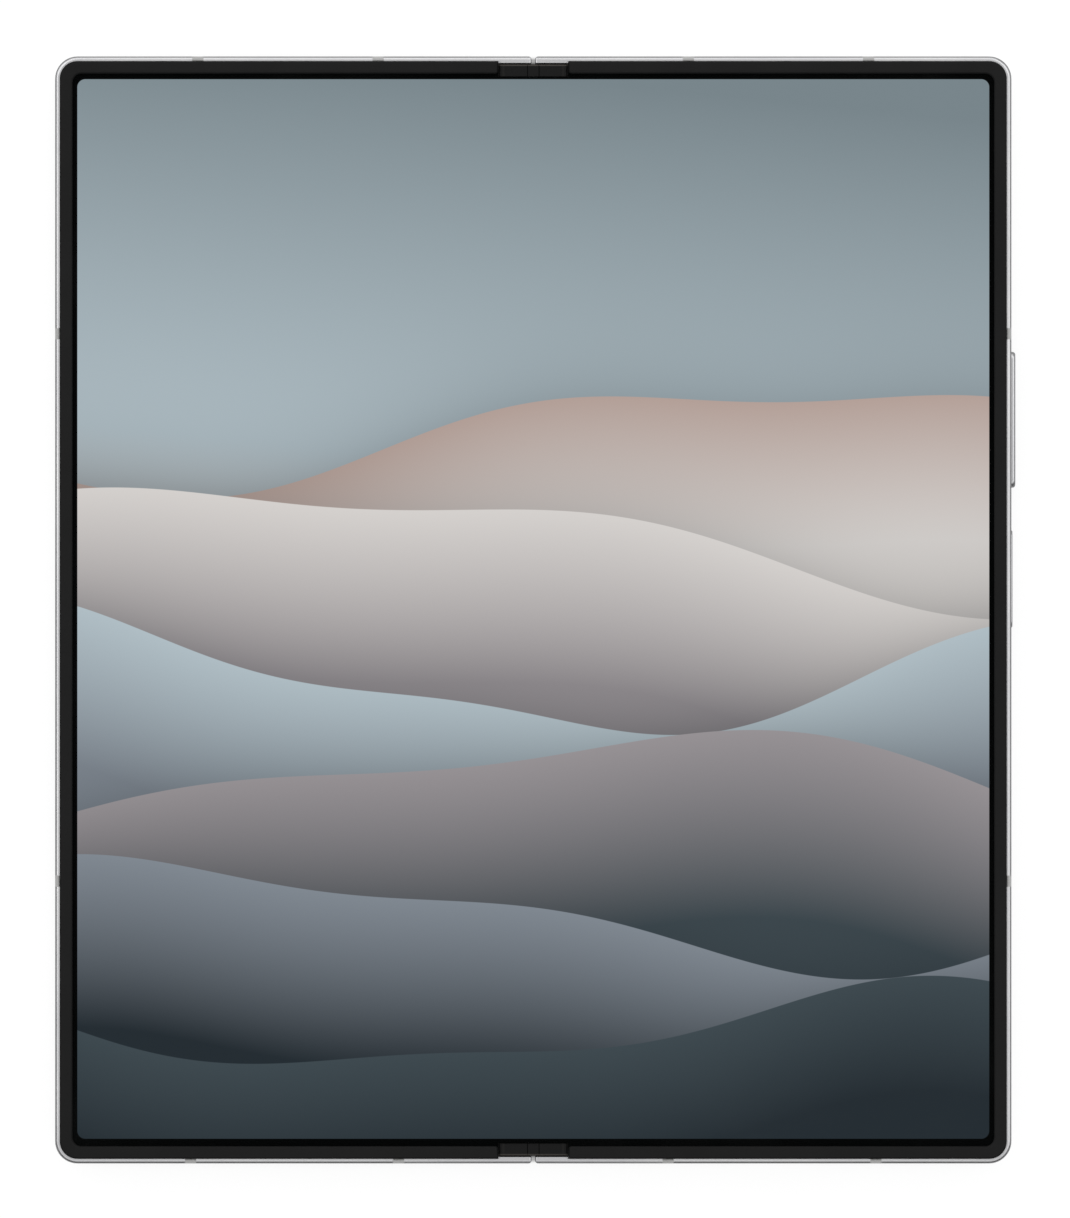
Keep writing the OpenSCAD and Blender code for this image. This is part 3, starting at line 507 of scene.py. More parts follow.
def metal_finish(made):
    """Fine-blasted metal: slow clouds of shade, a grain too small to count, faint rub marks."""
    values = body_values()
    cloud = made.noise(45.0, 3.0)
    fine = made.noise(9000.0, 2.0, 0.6)
    rub = made.noise(260.0, 6.0, 0.7, (1.0, 0.12, 1.0))
    made.set(
        Base_Color=made.mix(cloud.step(0.3, 0.7), values.metal, values.metal_low),
        Roughness=cloud * 0.06 + 0.27 + rub.step(0.5, 0.8) * 0.05,
        Normal=made.bump(fine, 0.0015),
        Metallic=1.0,
    )


def break_finish(made):
    """Fine moulded plastic, in the same plane as the metal."""
    colour = body_values().breaks
    grained(made, colour, shaded(colour, 0.93), 0.5, 7000.0, depth=0.001)
    made.set(Specular_IOR_Level=0.3)


def rim_finish(made):
    """Matt moulded plastic with a spark-eroded grain of about 0.1 mm."""
    colour = body_values().rim
    grain = made.noise(11000.0, 2.0, 0.7)
    cloud = made.noise(120.0, 4.0)
    made.set(
        Base_Color=made.mix(cloud.step(0.3, 0.7), colour, shaded(colour, 1.18)),
        Roughness=grain * 0.12 + 0.52,
        Normal=made.bump(grain, 0.006),
        Specular_IOR_Level=0.12,
    )


def cap_finish(made):
    """Moulded caps of the fold: a painted highlight on the rounded outer edge and a faint one near
    their ends.
    """
    values = body_values()
    x, y, z = made.place()
    fine = made.noise(7000.0, 2.0, 0.6)
    # painted highlight: paler along the caps' rounded outer edge, and faintly in a band near each
    # end
    painted_highlight = abs(y).step(CAP_OUT, CAP_OUT + 0.06) * z.step(6.1, 6.2)
    painted_highlight = painted_highlight + abs(abs(x) - 4.14).step(0.17, 0.11) * 0.1
    made.set(
        Base_Color=made.mix(painted_highlight.at_most(1.0), values.cap, values.cap_edge_highlight),
        Roughness=fine * 0.1 + 0.42,
        Normal=made.bump(fine, 0.002),
        Specular_IOR_Level=0.14,
    )


def picture(made, x, y):
    """Soft dunes under a hazy sky: each dune hides what lies behind its wavy crest."""
    values = display_values()
    stops = [(0.0, values.dawn), (0.35, values.ice), (1.0, values.sky)]
    height = (y + 10.0) / 84.0 + x * 0.0012
    colour = made.node("ValToRGB", {"stops": stops}, Fac=height.within_one())
    dunes = (
        # height of the crest, its two waves (size, turn per mm, phase), the colours at the crest
        # and at the foot, and the depth over which one becomes the other
        (24.0, (7.0, 0.034, 0.4), (2.2, 0.083, 1.9), values.blush, values.dawn, 20.0),
        (9.0, (8.0, 0.029, 2.6), (2.6, 0.071, 0.3), values.dawn, values.mauve, 24.0),
        (-8.0, (8.5, 0.037, 4.4), (2.0, 0.093, 2.2), values.ice, values.slate, 22.0),
        (-25.0, (7.5, 0.031, 1.2), (2.8, 0.066, 5.1), values.mauve, values.dusk, 26.0),
        (-42.0, (7.0, 0.035, 3.3), (2.4, 0.079, 0.9), values.slate, values.night, 24.0),
        (-58.0, (5.5, 0.041, 5.6), (1.8, 0.088, 3.0), values.dusk, values.night, 16.0),
    )
    for level, *waves, crest, foot, depth in dunes:
        first, second = ((x * turn + phase).sine() * size for size, turn, phase in waves)
        below = first + second + level - y
        shade = made.mix((below / depth).within_one(), crest, foot)
        haze = (below * -0.16 - 0.2).maths("EXPONENT", below * 0.16)
        behind = made.mix(haze.within_one() * 0.28, colour, values.night)
        colour = made.mix(below.step(-0.05, 0.05), behind, shade)
    return colour


def display_finish(made):
    """A lit picture under black-bordered glass, placed by the display's own UV map."""
    values = display_values()
    spot = made.split(made.node("UVMap", {"uv_map": "display"}))
    x, y = [(part - 0.5) * ART_SPAN for part in spot[:2]]
    half_y = (values.lit_top + values.lit_bottom) / 2
    middle = (values.lit_top - values.lit_bottom) / 2
    corner = values.lit_corner
    round_x = (abs(x) - (values.lit_x - corner)).at_least(0.0)
    round_y = (abs(y - middle) - (half_y - corner)).at_least(0.0)
    lit = length(round_x, round_y).step(corner + 0.03, corner - 0.03)
    smear = made.noise(38.0, 5.0, 0.6)
    made.set(
        Base_Color=values.black,
        Emission_Color=made.mix(lit, (0, 0, 0, 1), picture(made, x, y)),
        Emission_Strength=1.0,
        Roughness=smear.step(0.45, 0.75) * 0.03 + 0.05,
        Specular_IOR_Level=0.5,
    )


def back_finish(made):
    """Frosted glass: a fine etched grain over a deep even colour."""
    colour = body_values().back
    fine = made.noise(12000.0, 2.0, 0.6)
    cloud = made.noise(30.0, 3.0)
    made.set(
        Base_Color=made.mix(cloud, colour, shaded(colour, 0.9)),
        Roughness=fine * 0.08 + 0.3,
        Normal=made.bump(fine, 0.0012),
        Metallic=0.35,
        Coat_Weight=0.4,
        Coat_Roughness=0.25,
        Coat_IOR=1.5,
    )


def cover_finish(made):
    """Polished black glass over an unlit outer display, with its camera hole."""
    half_x, half_y = COVER_LIT
    x, y, _ = made.place()
    area = (abs(x - COVER_X) - half_x).at_least(abs(y) - half_y)
    hole = length(x - COVER_CAMERA[0], y - COVER_CAMERA[1])
    rim = hole.step(2.05, 1.95) * hole.step(1.25, 1.35)
    smear = made.noise(40.0, 5.0, 0.6)
    panel = made.mix(area.step(-0.1, 0.1), tone(14, 15, 17), tone(6, 6, 7))
    pupil = made.mix(hole.step(1.3, 1.2), panel, tone(14, 12, 34))
    made.set(
        Base_Color=made.mix(rim, pupil, tone(3, 3, 3)),
        Roughness=smear.step(0.45, 0.75) * 0.03 + 0.045,
        Specular_IOR_Level=0.5,
    )


def lens_finish(made):
    """Coated glass that mirrors by Fresnel's share, on its outer side alone, and is else clear."""
    outside = 1.0 - made.node("NewGeometry", output=6)
    alpha = made.node("Fresnel", IOR=1.5) * outside
    made.set(Base_Color=tone(244, 246, 255), Metallic=1.0, Roughness=0.02, Alpha=alpha)


def from_lens(x, y):
    """Distance to the nearest lens axis: lenses stand a pitch apart on one line along Y."""
    upper, middle, _ = lens_places()
    pitch = upper[1] - middle[1]
    along = y - middle[1]
    return length(x - middle[0], along.maths("WRAP", along, pitch / 2, -pitch / 2))


def element_finish(made):
    """Coated front element: a black pupil, a violet ring and a blue-green edge."""
    x, y, _ = made.place()
    r = from_lens(x, y)
    inner = made.mix(r.step(0.75, 0.95), tone(4, 4, 6), tone(46, 26, 74))
    made.set(
        Base_Color=made.mix(r.step(1.3, 2.0), inner, tone(16, 34, 52)),
        Roughness=0.04,
        Specular_IOR_Level=0.6,
        Coat_Weight=0.6,
        Coat_Roughness=0.02,
    )


def barrel_finish(made):
    """Matt black lens barrel with fine turned grooves."""
    x, y, _ = made.place()
    grooves = (from_lens(x, y) * 60.0).sine() * 0.5 + 0.5
    made.set(
        Base_Color=made.mix(grooves, tone(9, 9, 10), tone(17, 17, 19)),
        Roughness=0.42 + grooves * 0.1,
        Normal=made.bump(grooves, 0.01),
        Specular_IOR_Level=0.3,
    )


def glow_finish(made):
    """Flash: a yellow phosphor seen through a milky moulded lens."""
    middle = sum(extent("flash_window")) / 2
    x, y, _ = made.place()
    r = length(x - middle[0], y - middle[1])
    cloud = made.noise(700.0, 3.0)
    milky = made.mix(cloud, tone(214, 212, 202), tone(228, 226, 218))
    made.set(
        Base_Color=made.mix(r.step(1.5, 1.1), milky, tone(236, 214, 134)),
        Roughness=0.22,
        Normal=made.bump(cloud, 0.01),
        Specular_IOR_Level=0.5,
    )


def mesh_finish(made):
    """Acoustic mesh: round wires woven 0.12 mm apart."""
    x, _, z = made.place()
    weave = (x * 52.0).sine() * (z * 52.0).sine() * 0.5 + 0.5
    made.set(
        Base_Color=made.mix(weave, tone(8, 8, 8), tone(70, 70, 72)),
        Roughness=0.5,
        Normal=made.bump(weave, 0.02),
        Metallic=0.6,
    )


def board_finish(made):
    """Dark solder mask crossed by fine copper tracks."""
    x, y, _ = made.place()
    track = ((x + (y * 0.9).sine()) * 7.0).sine().step(0.75, 0.9)
    lines = track * made.noise(420.0, 2.0).step(0.5, 0.56)
    made.set(
        Base_Color=made.mix(lines, tone(16, 44, 30), tone(34, 84, 56)),
        Roughness=0.42 - lines * 0.12,
        Normal=made.bump(lines, 0.03),
        Specular_IOR_Level=0.4,
    )


def plain(colour, second, rough, grain=6000.0, **more):
    """A recipe for a grained finish."""
    return lambda made: grained(made, tone(*colour), tone(*second), rough, grain, **more)


RECIPES = {
    "frame_metal": metal_finish,
    "antenna_plastic": break_finish,
    "rim_plastic": rim_finish,
    "cap_plastic": cap_finish,
    "lit_display": display_finish,
    "frosted_back": back_finish,
    "cover_glass": cover_finish,
    "lens_glass": lens_finish,
    "flash_diffuser": glow_finish,
    "solder_mask": board_finish,
    "island_metal": plain((176, 178, 181), (166, 168, 172), 0.3, metallic=1.0, depth=0.001),
    "ring_metal": plain((78, 79, 82), (66, 67, 70), 0.2, metallic=1.0, depth=0.0005),
    "barrel_black": barrel_finish,
    "lens_element": element_finish,
    "shield_steel": plain((176, 178, 180), (160, 162, 166), 0.34, metallic=1.0),
    "copper": plain((196, 122, 84), (176, 104, 70), 0.3, metallic=1.0),
    "battery_wrap": plain((30, 31, 33), (38, 39, 41), 0.5, 3000.0, depth=0.01),
    "socket_steel": plain((168, 170, 173), (150, 152, 156), 0.28, metallic=1.0),
    "contact_gold": plain((226, 182, 92), (208, 162, 76), 0.25, metallic=1.0),
    "dark_plastic": plain((26, 26, 28), (34, 34, 36), 0.5, depth=0.006),
    "flex_sheet": plain((140, 92, 40), (120, 76, 30), 0.4, depth=0.003),
    "nickel": plain((188, 186, 180), (170, 168, 162), 0.22, metallic=1.0),
    "screw_steel": plain((120, 121, 124), (104, 105, 108), 0.3, metallic=1.0),
    "hinge_steel": plain((150, 151, 154), (132, 133, 137), 0.3, metallic=1.0, depth=0.002),
    "tongue_plastic": plain((18, 18, 19), (24, 24, 25), 0.4),
    "acoustic_mesh": mesh_finish,
}


# ---- Operators ----


def round_ends(work, flip, end, top, radius):
    """Rounds the upper edge of a frame's end faces, where the two frames meet at the fold.

    Three planes touch a quarter circle whose centre lies a radius inside the end face and a radius
    under the top. Each cuts the edge off, and a flat face closes the cut.
    """
    for turn in np.radians((22.5, 45.0, 67.5)):
        out, up = -flip * math.cos(turn), math.sin(turn)
        touch = (flip * (end + radius) + out * radius, 0, top - radius + up * radius)
        cut = bmesh.ops.bisect_plane(
            work, geom=[*work.verts, *work.edges, *work.faces], dist=1e-4 * MM,
            plane_co=[v * MM for v in touch], plane_no=(out, 0, up), clear_outer=True,
        )
        edges = [each for each in cut["geom_cut"] if isinstance(each, bmesh.types.BMEdge)]
        bmesh.ops.holes_fill(work, edges=edges)


class PHONE_OT_frames(bpy.types.Operator):
    """Metal half frames with their plastic antenna breaks"""

    bl_idname = "phone.frames"
    bl_label = "Frames"

    def execute(self, context):
        for side, flip in SIDES.items():
            low, high = extent(side + "_frame")
            end = min(abs(low[0]), abs(high[0]))
            soft_copy(
                side + "_frame", side + "_frame_metal", "frame_metal", 32.0, 0.05,
                reshape=lambda work: round_ends(work, flip, end, high[2], FRAME_END_ROUND),
            )
            soft_copy(side + "_antenna_breaks", side + "_antenna_strips", "antenna_plastic", 32.0)
        return {"FINISHED"}


def rim_line(near, x_fold, corner, radius, fall):
    """One edge of a rim as points from the fold round both corners and back to the fold.

    Next to the fold it leaves its straight run by a quarter circle of radius |fall|, away from the
    phone's middle where fall is positive, else towards it.
    """
    x_edge, y_edge = corner
    size = abs(fall)
    left = np.clip(size - near, 0, size)
    rise = np.sign(fall) * (size - np.sqrt(size**2 - left**2))
    run = np.stack([x_fold + near, y_edge + rise], 1)
    arc = corner_arc((x_edge - radius, y_edge - radius), radius, 90, 0, 14)
    down = np.stack([np.full(30, x_edge), np.linspace(y_edge - radius, 0, 31)[1:]], 1)
    upper = np.concatenate([run, arc, down])
    return np.concatenate([upper, upper[:-1][::-1] * [1, -1]])


def rim_surface(side, body):
    """Surface of a rim: rows follow the outline from the fold round to the fold, columns cross it.

    The outer line O and inner line I hold the same number of points. A column at a distance d from
    O lies at O + d * (I - O) / |I - O|. Its height follows a rounded section, times a quarter
    circle near the two ends, where it falls to a twentieth.
    """
    low, high = extent(side + "_rim")
    flip = SIDES[side]
    x_fold, x_out = sorted((flip * low[0], flip * high[0]))
    y_out, foot, top = high[1], low[2], high[2]
    width, r_out, r_fold, end_round = 1.75, 2.43, 0.12, 0.3
    near = np.concatenate([np.linspace(0, 0.7, 15) ** 1.6, np.linspace(1.0, 60.0, 40)[:-1]])
    near = near[near < x_out - r_out - x_fold - 0.5]
    corner = np.array([x_out, y_out])
    outer = rim_line(near, x_fold, corner, r_out, -r_fold)
    inner = rim_line(near, x_fold, corner - width, body.rim_corner, body.rim_end_round)
    across = inner - outer
    span = np.linalg.norm(across, axis=1, keepdims=True)
    r = body.rim_round
    turn = np.radians(np.linspace(0, 90, 7))
    reach = np.concatenate([[0.0], r - r * np.cos(turn)])
    rise = np.concatenate([[0.0], 1 - r * (1 - np.sin(turn)) / (top - foot)])
    crown = np.array([0.35, 0.5, 0.65])
    offset = np.concatenate(
        [np.broadcast_to(reach, (len(outer), len(reach))), span * crown, span - reach[::-1]], 1
    )
    heights = np.concatenate([rise, np.ones(len(crown)), rise[::-1]])
    closing = np.minimum(np.abs(outer[:, 0] - x_fold) / end_round, 1.0)
    closing = np.maximum(np.sqrt(1 - (1 - closing) ** 2), 0.05)
    flat = outer[:, None, :] + (across / span)[:, None, :] * offset[:, :, None]
    z = foot + (top - foot) * heights[None, :] * closing[:, None]
    points = np.concatenate([flat, z[:, :, None]], 2)
    points[:, :, 0] *= flip
    return points


class PHONE_OT_rims(bpy.types.Operator):
    """Raised plastic rims round the inner display"""

    bl_idname = "phone.rims"
    bl_label = "Rims"

    def execute(self, context):
        for side in SIDES:
            shape = Shape().loft(rim_surface(side, body_values()))
            shape.piece(side + "_rim_bezel", "rim_plastic", side + "_half", side + "_rim", 60.0)
        return {"FINISHED"}


def display_sheet(x, y, low, high):
    """Points and faces of a thin closed sheet over a grid of x and y lines."""
    grid_x, grid_y = np.meshgrid(x, y, indexing="ij")
    rows, columns = grid_x.shape
    top = np.stack([grid_x, grid_y, np.full(grid_x.shape, high)], 2).reshape(-1, 3)
    bottom = top * [1, 1, 0] + [0, 0, low]
    faces, count = grid_faces(rows, columns), rows * columns
    index = np.arange(count).reshape(rows, columns)
    border = np.concatenate([index[:, 0], index[-1, 1:], index[-2::-1, -1], index[0, -2:0:-1]])
    after = np.roll(border, -1)
    wall = np.stack([border, after, after + count, border + count], 1)
    return np.concatenate([top, bottom]), np.concatenate([faces, faces[:, ::-1] + count, wall])


def display_piece(name, node, body, x, rows):
    """One stretch of the display over a grid of x lines and rows, with its display UV map."""
    low, high = extent(node)
    points, faces = display_sheet(x, np.linspace(low[1], high[1], rows), low[2], high[2])
    mesh = Shape().add(points, faces).mesh(name)
    spots = np.empty(len(mesh.vertices) * 3)
    mesh.vertices.foreach_get("co", spots)
    corners = np.empty(len(mesh.loops), int)
    mesh.loops.foreach_get("vertex_index", corners)
    flat = spots.reshape(-1, 3)[corners, :2] / (ART_SPAN * MM) + 0.5
    mesh.uv_layers.new(name="display").data.foreach_set("uv", flat.ravel())
    return dress(name, mesh, "lit_display", body, node, 30.0)


def bend(made):
    """Bakes a piece's placement into its mesh."""
    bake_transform(made)


class PHONE_OT_display(bpy.types.Operator):
    """Inner display: a flat stretch on each half and a stretch over the fold between them"""

    bl_idname = "phone.display"
    bl_label = "Inner display"

    def execute(self, context):
        for side in SIDES:
            node = side + "_display_panel"
            low, high = extent(node)
            x = np.linspace(low[0], high[0], 5)
            display_piece(side + "_display_sheet", node, side + "_half", x, 7)
        _, high = extent("display_fold")
        for side, flip in reversed(SIDES.items()):
            x = np.sort(np.linspace(0, flip * high[0], 41))
            made = display_piece(side + "_display_bend", "display_fold", None, x, 9)
            bend(made)
        return {"FINISHED"}


def cap_rings(outline, top, y_end):
    """Closed rings of an upright outline of (x, z) along Y, its top falling to the far end."""
    stations = (
        # place along Y, drop of the top edge
        (73.9, 0.07), (73.96, 0.02), (74.02, 0.0), (CAP_OUT, 0.0), (CAP_OUT + 0.06, 0.02),
        (75.56, 0.06), (75.64, 0.14), (75.68, 0.26), (75.69, 0.6), (y_end, 0.6),
    )
    rings = []
    for y, drop in stations:
        height = np.minimum(outline[:, 1], top - drop)
        rings.append(np.stack([outline[:, 0], np.full(len(outline), y), height], 1))
    return np.stack(rings)


def hinge_cap_outline(low, x_tail):
    """A barrel about the hinge axis, flat on top, a rounded outer end and a low tail."""
    reach, x_end, r_end, tail_height = 1.28, 4.68, 0.18, 1.2
    top, foot = AXIS_Z + CAP_HALF, AXIS_Z - CAP_HALF
    half = math.degrees(math.asin(CAP_HALF / reach))
    barrel = corner_arc((AXIS_X, AXIS_Z), reach, 180 + half, 180 - half, 13)
    end = corner_arc((x_end - r_end, top - r_end), r_end, 90, 0, 6)
    z = low[2] + tail_height
    return np.concatenate([barrel, end, [[x_end, z], [x_tail, z], [x_tail, foot]]])


def centre_cap_outline(foot, top):
    """Two hollow sides along the barrels beside them, joined by a flat top and a flat foot."""
    r_hollow = 1.35
    height = np.linspace(AXIS_Z, top, 9)
    waist = AXIS_X - np.sqrt(r_hollow**2 - (height - AXIS_Z) ** 2)
    right = np.stack([waist, height], 1)
    return np.concatenate([[[-waist[0], foot], [waist[0], foot]], right, right[::-1] * [-1, 1]])


class PHONE_OT_hinge(bpy.types.Operator):
    """Hinge: end caps, spine cover, brackets, gears, arms, wing plates and flex cables"""

    bl_idname = "phone.hinge"
    bl_label = "Hinge"

    def execute(self, context):
        for side, flip in SIDES.items():
            low, high = extent(side + "_hinge_caps")
            outline = hinge_cap_outline(low, max(abs(low[0]), abs(high[0])))
            rings = cap_rings(outline, AXIS_Z + CAP_HALF, high[1]) * [flip, 1, 1]
            self.caps(side + "_fold_caps", rings, side + "_half", side + "_hinge_caps")
            paint("hinge_steel", side + "_hinge_arms", side + "_wing")
        low, high = extent("centre_caps")
        top = AXIS_Z + CAP_HALF - 0.04
        rings = cap_rings(centre_cap_outline(low[2], top), top, high[1])
        self.caps("fold_centre_caps", rings, "spine", "centre_caps")
        soft_copy("spine_cover", "spine_shell", "frame_metal", bevel=0.08)
        paint("hinge_steel", "upper_hinge_bracket", "lower_hinge_bracket")
        paint("nickel", "gear_pins", "upper_left_idler", "upper_right_idler",
              "lower_left_idler", "lower_right_idler")
        self.cables()
        return {"FINISHED"}

    def caps(self, name, rings, body, node):
        """A cap at each end of the fold, one the mirror image of the other."""
        shape = Shape().loft(rings).loft(rings * [1, -1, 1])
        shape.piece(name, "cap_plastic", body, node, 30.0)

    def cables(self):
        """Flex cables with a slack loop z - dip (1 + cos(pi x / loop)) / 2 clear of the wings."""
        low, high = extent("hinge_flex_cables")
        dip, loop, half_w = 1.75, 4.5, 3.0
        for side, flip in reversed(SIDES.items()):
            shape = Shape()
            x = np.sort(np.linspace(0, flip * high[0], 61))
            for middle in (-15.0, 15.0):
                y = middle + np.array([-half_w, 0.0, half_w])
                points, faces = display_sheet(x, y, low[2], high[2])
                along = np.minimum(np.abs(points[:, 0]) / loop, 1)
                points[:, 2] -= dip * (1 + np.cos(np.pi * along)) / 2
                shape.add(points, faces)
            made = shape.piece(side + "_flex_cables", "flex_sheet", None, "hinge_flex_cables")
            bend(made)


def key_rings(node, r):
    """Rings of a side key along X: a flange, a straight neck, and a face with a rounded edge.

    The outline is a stadium in Y and Z. At a turn t of the edge it lies at x = face - r + r sin t
    and is smaller all round by r (1 - cos t).
    """
    low, high = extent(node)
    middle = (low + high) / 2
    over, flange = 0.4, 0.5
    turn = np.radians(np.linspace(0, 90, 9))
    neck = low[0] + flange
    place = np.concatenate([[low[0], neck, neck], high[0] - r + r * np.sin(turn)])
    inset = np.concatenate([[-over, -over, 0.0], r - r * np.cos(turn)])
    half_l, half_w = (high - low)[1:] / 2 - over
    rings = []
    for x, less in zip(place, inset):
        ring = stadium(middle[1:], half_l - less, half_w - less)
        rings.append(np.column_stack([np.full(len(ring), x), ring]))
    return np.stack(rings)


class PHONE_OT_keys(bpy.types.Operator):
    """Volume key, power key and SIM tray"""

    bl_idname = "phone.keys"
    bl_label = "Keys and tray"

    def execute(self, context):
        for node, name, r in (
            ("volume_key", "volume_rocker", 0.38),
            ("power_key", "power_button", 0.18),
        ):
            shape = Shape().loft(key_rings(node, r))
            shape.piece(name, "frame_metal", BODY_OF[node], node, 32.0)
        soft_copy("sim_tray", "card_tray", "frame_metal", 32.0, 0.06)
        paint("contact_gold", "key_switches")
        paint("shield_steel", "sim_slot")
        return {"FINISHED"}


class PHONE_OT_glass(bpy.types.Operator):
    """Frosted rear glass and the glossy outer display"""

    bl_idname = "phone.glass"
    bl_label = "Glass"

    def execute(self, context):
        soft_copy("rear_glass", "rear_panel", "frosted_back", bevel=0.15)
        soft_copy("cover_glass", "outer_display_glass", "cover_glass", bevel=0.15)
        paint("dark_plastic", "cover_display_panel", "cover_camera")
        return {"FINISHED"}


def lens_places():
    """Centres of the three lenses from the top down."""
    low, high = extent("lens_rings")
    r, x = (high[0] - low[0]) / 2, (high[0] + low[0]) / 2
    return [(x, y) for y in np.linspace(high[1] - r, low[1] + r, 3)]


def barrel_profile(front, back, outer, aperture):
    """A turned tube with a stepped bore: each land lies deeper and is narrower than the last."""
    count, step, chamfer = 5, 0.2, 0.08
    edge = np.linspace(outer - 0.35, aperture + 0.12, count)
    depth = front + step * np.arange(count)
    lands = np.stack([edge, depth, edge - 0.06, depth + step], 1).reshape(-1, 2)
    rim = [(0, back), (outer, back), (outer, front + chamfer), (outer - chamfer, front)]
    return np.concatenate([rim, lands, [[0, depth[-1] + step]]])


def element_profile(apex, edge, aperture):
    """A domed disc: height apex + (edge - apex) * (r / aperture)^2 over a flat back."""
    r = np.linspace(0, aperture, 13)
    dome = np.stack([r, apex + (edge - apex) * (r / aperture) ** 2], 1)
    back = edge + 0.15
    return np.concatenate([dome, [[aperture, back], [0, back]]])


def flash_profile(outer, front, back):
    """A round lens with a flat border and middle; a saw cuts the face between them into rings."""
    count, flat, depth, chamfer = 17, 0.35, 0.06, 0.1
    saw = front + depth * (np.arange(count) % 2)
    ridges = np.stack([np.linspace(outer - flat, flat, count), saw], 1)
    skirt = [(0, back), (outer, back), (outer, front + chamfer), (outer - chamfer, front)]
    return np.concatenate([skirt, ridges, [[0, front]]])


class PHONE_OT_cameras(bpy.types.Operator):
    """Camera island with its rings, clear windows, lens stacks and flash"""

    bl_idname = "phone.cameras"
    bl_label = "Cameras"

    def execute(self, context):
        soft_copy("camera_island", "camera_plateau", "island_metal", bevel=0.25)
        soft_copy("lens_rings", "lens_bezels", "ring_metal", bevel=0.12)
        soft_copy("lens_covers", "lens_windows", "lens_glass")
        self.stacks()
        low, high = extent("flash_window")
        profile = flash_profile((high[0] - low[0]) / 2, low[2], high[2])
        shape = Shape().grid(turned_rings((low + high) / 2, profile), wrap=True)
        shape.piece("flash_lens", "flash_diffuser", "right_half", "flash_window", 25.0)
        paint("barrel_black", "inner_camera")
        return {"FINISHED"}

    def stacks(self):
        """Square housings with stepped barrels, and the domed front elements in them."""
        low, high = extent("camera_modules")
        half = (high[0] - low[0]) / 2
        housing, elements = Shape(), Shape()
        # the wide-angle lens has the largest element, the long lens the smallest
        for (x, y), aperture in zip(lens_places(), (2.7, 2.3, 1.9)):
            profile = barrel_profile(low[2], BOX_FRONT + 0.05, BARREL_RADIUS, aperture)
            housing.grid(turned_rings((x, y), profile), wrap=True)
            housing.block((x - half, y - half, BOX_FRONT), (x + half, y + half, high[2]))
            profile = element_profile(low[2] + ELEMENT_APEX, low[2] + ELEMENT_EDGE, aperture)
            elements.grid(turned_rings((x, y), profile), wrap=True)
        housing.piece("lens_barrels", "barrel_black", "right_half", "camera_modules", 30.0)
        made = elements.piece("lens_elements", "lens_element", "right_half", edge=40.0)


class PHONE_OT_sockets(bpy.types.Operator):
    """USB-C socket with its contacts, and the meshes in the speaker and microphone holes"""

    bl_idname = "phone.sockets"
    bl_label = "Sockets"

    def execute(self, context):
        soft_copy("usb_c_socket", "usb_c_shell", "socket_steel", bevel=0.05)
        soft_copy("usb_c_tongue", "usb_c_blade", "tongue_plastic", bevel=0.12)
        low, high = extent("usb_c_tongue")
        half = np.array([0.13, 1.5, 0.02])
        contacts = Shape()
        for x in (low[0] + high[0]) / 2 + np.linspace(-2.75, 2.75, 12):
            for z in (low[2], high[2]):
                middle = np.array([x, low[1] + 1.9, z])
                contacts.block(middle - half, middle + half)
        contacts.piece("usb_c_contacts", "contact_gold", "right_half")
        for side, end, pinholes in (("right", -1, PINHOLES), ("left", 1, ())):
            row = SPEAKER_X + SPEAKER_PITCH * np.arange(SPEAKER_COUNT)
            places = [(-end * x, end, SPEAKER_MESH_R) for x in row]
            self.meshes(side, places + [(*place, PINHOLE_MESH_R) for place in pinholes])
        return {"FINISHED"}

    def meshes(self, side, places):
        """Round patches of mesh, each upright across its hole, set back from the mouth."""
        angle = np.linspace(0, 2 * np.pi, 24, endpoint=False)
        front = HALF_Y - MESH_DEPTH
        shape = Shape()
        for x, end, r in places:
            ring = np.stack([x + r * np.cos(angle), angle * 0, HOLE_Z + r * np.sin(angle)], 1)
            shape.loft(np.stack([ring + [0, end * y, 0] for y in (front, front - 0.05)]))
        made = shape.piece(side + "_acoustic_meshes", "acoustic_mesh", side + "_half")


class PHONE_OT_inside(bpy.types.Operator):
    """Finishes of the boards, batteries and other inner pieces"""

    bl_idname = "phone.inside"
    bl_label = "Inside"

    def execute(self, context):
        paint("solder_mask", "main_board", "charge_board", "sub_board")
        paint("shield_steel", "board_shields", "vibration_motor")
        paint("copper", "vapour_chamber", "charging_coil")
        paint("battery_wrap", "right_battery", "left_battery")
        paint("nickel", "right_magnets", "left_magnets")
        paint("screw_steel", "right_screws", "left_screws")
        paint("dark_plastic", "lower_speaker", "upper_speaker")
        return {"FINISHED"}


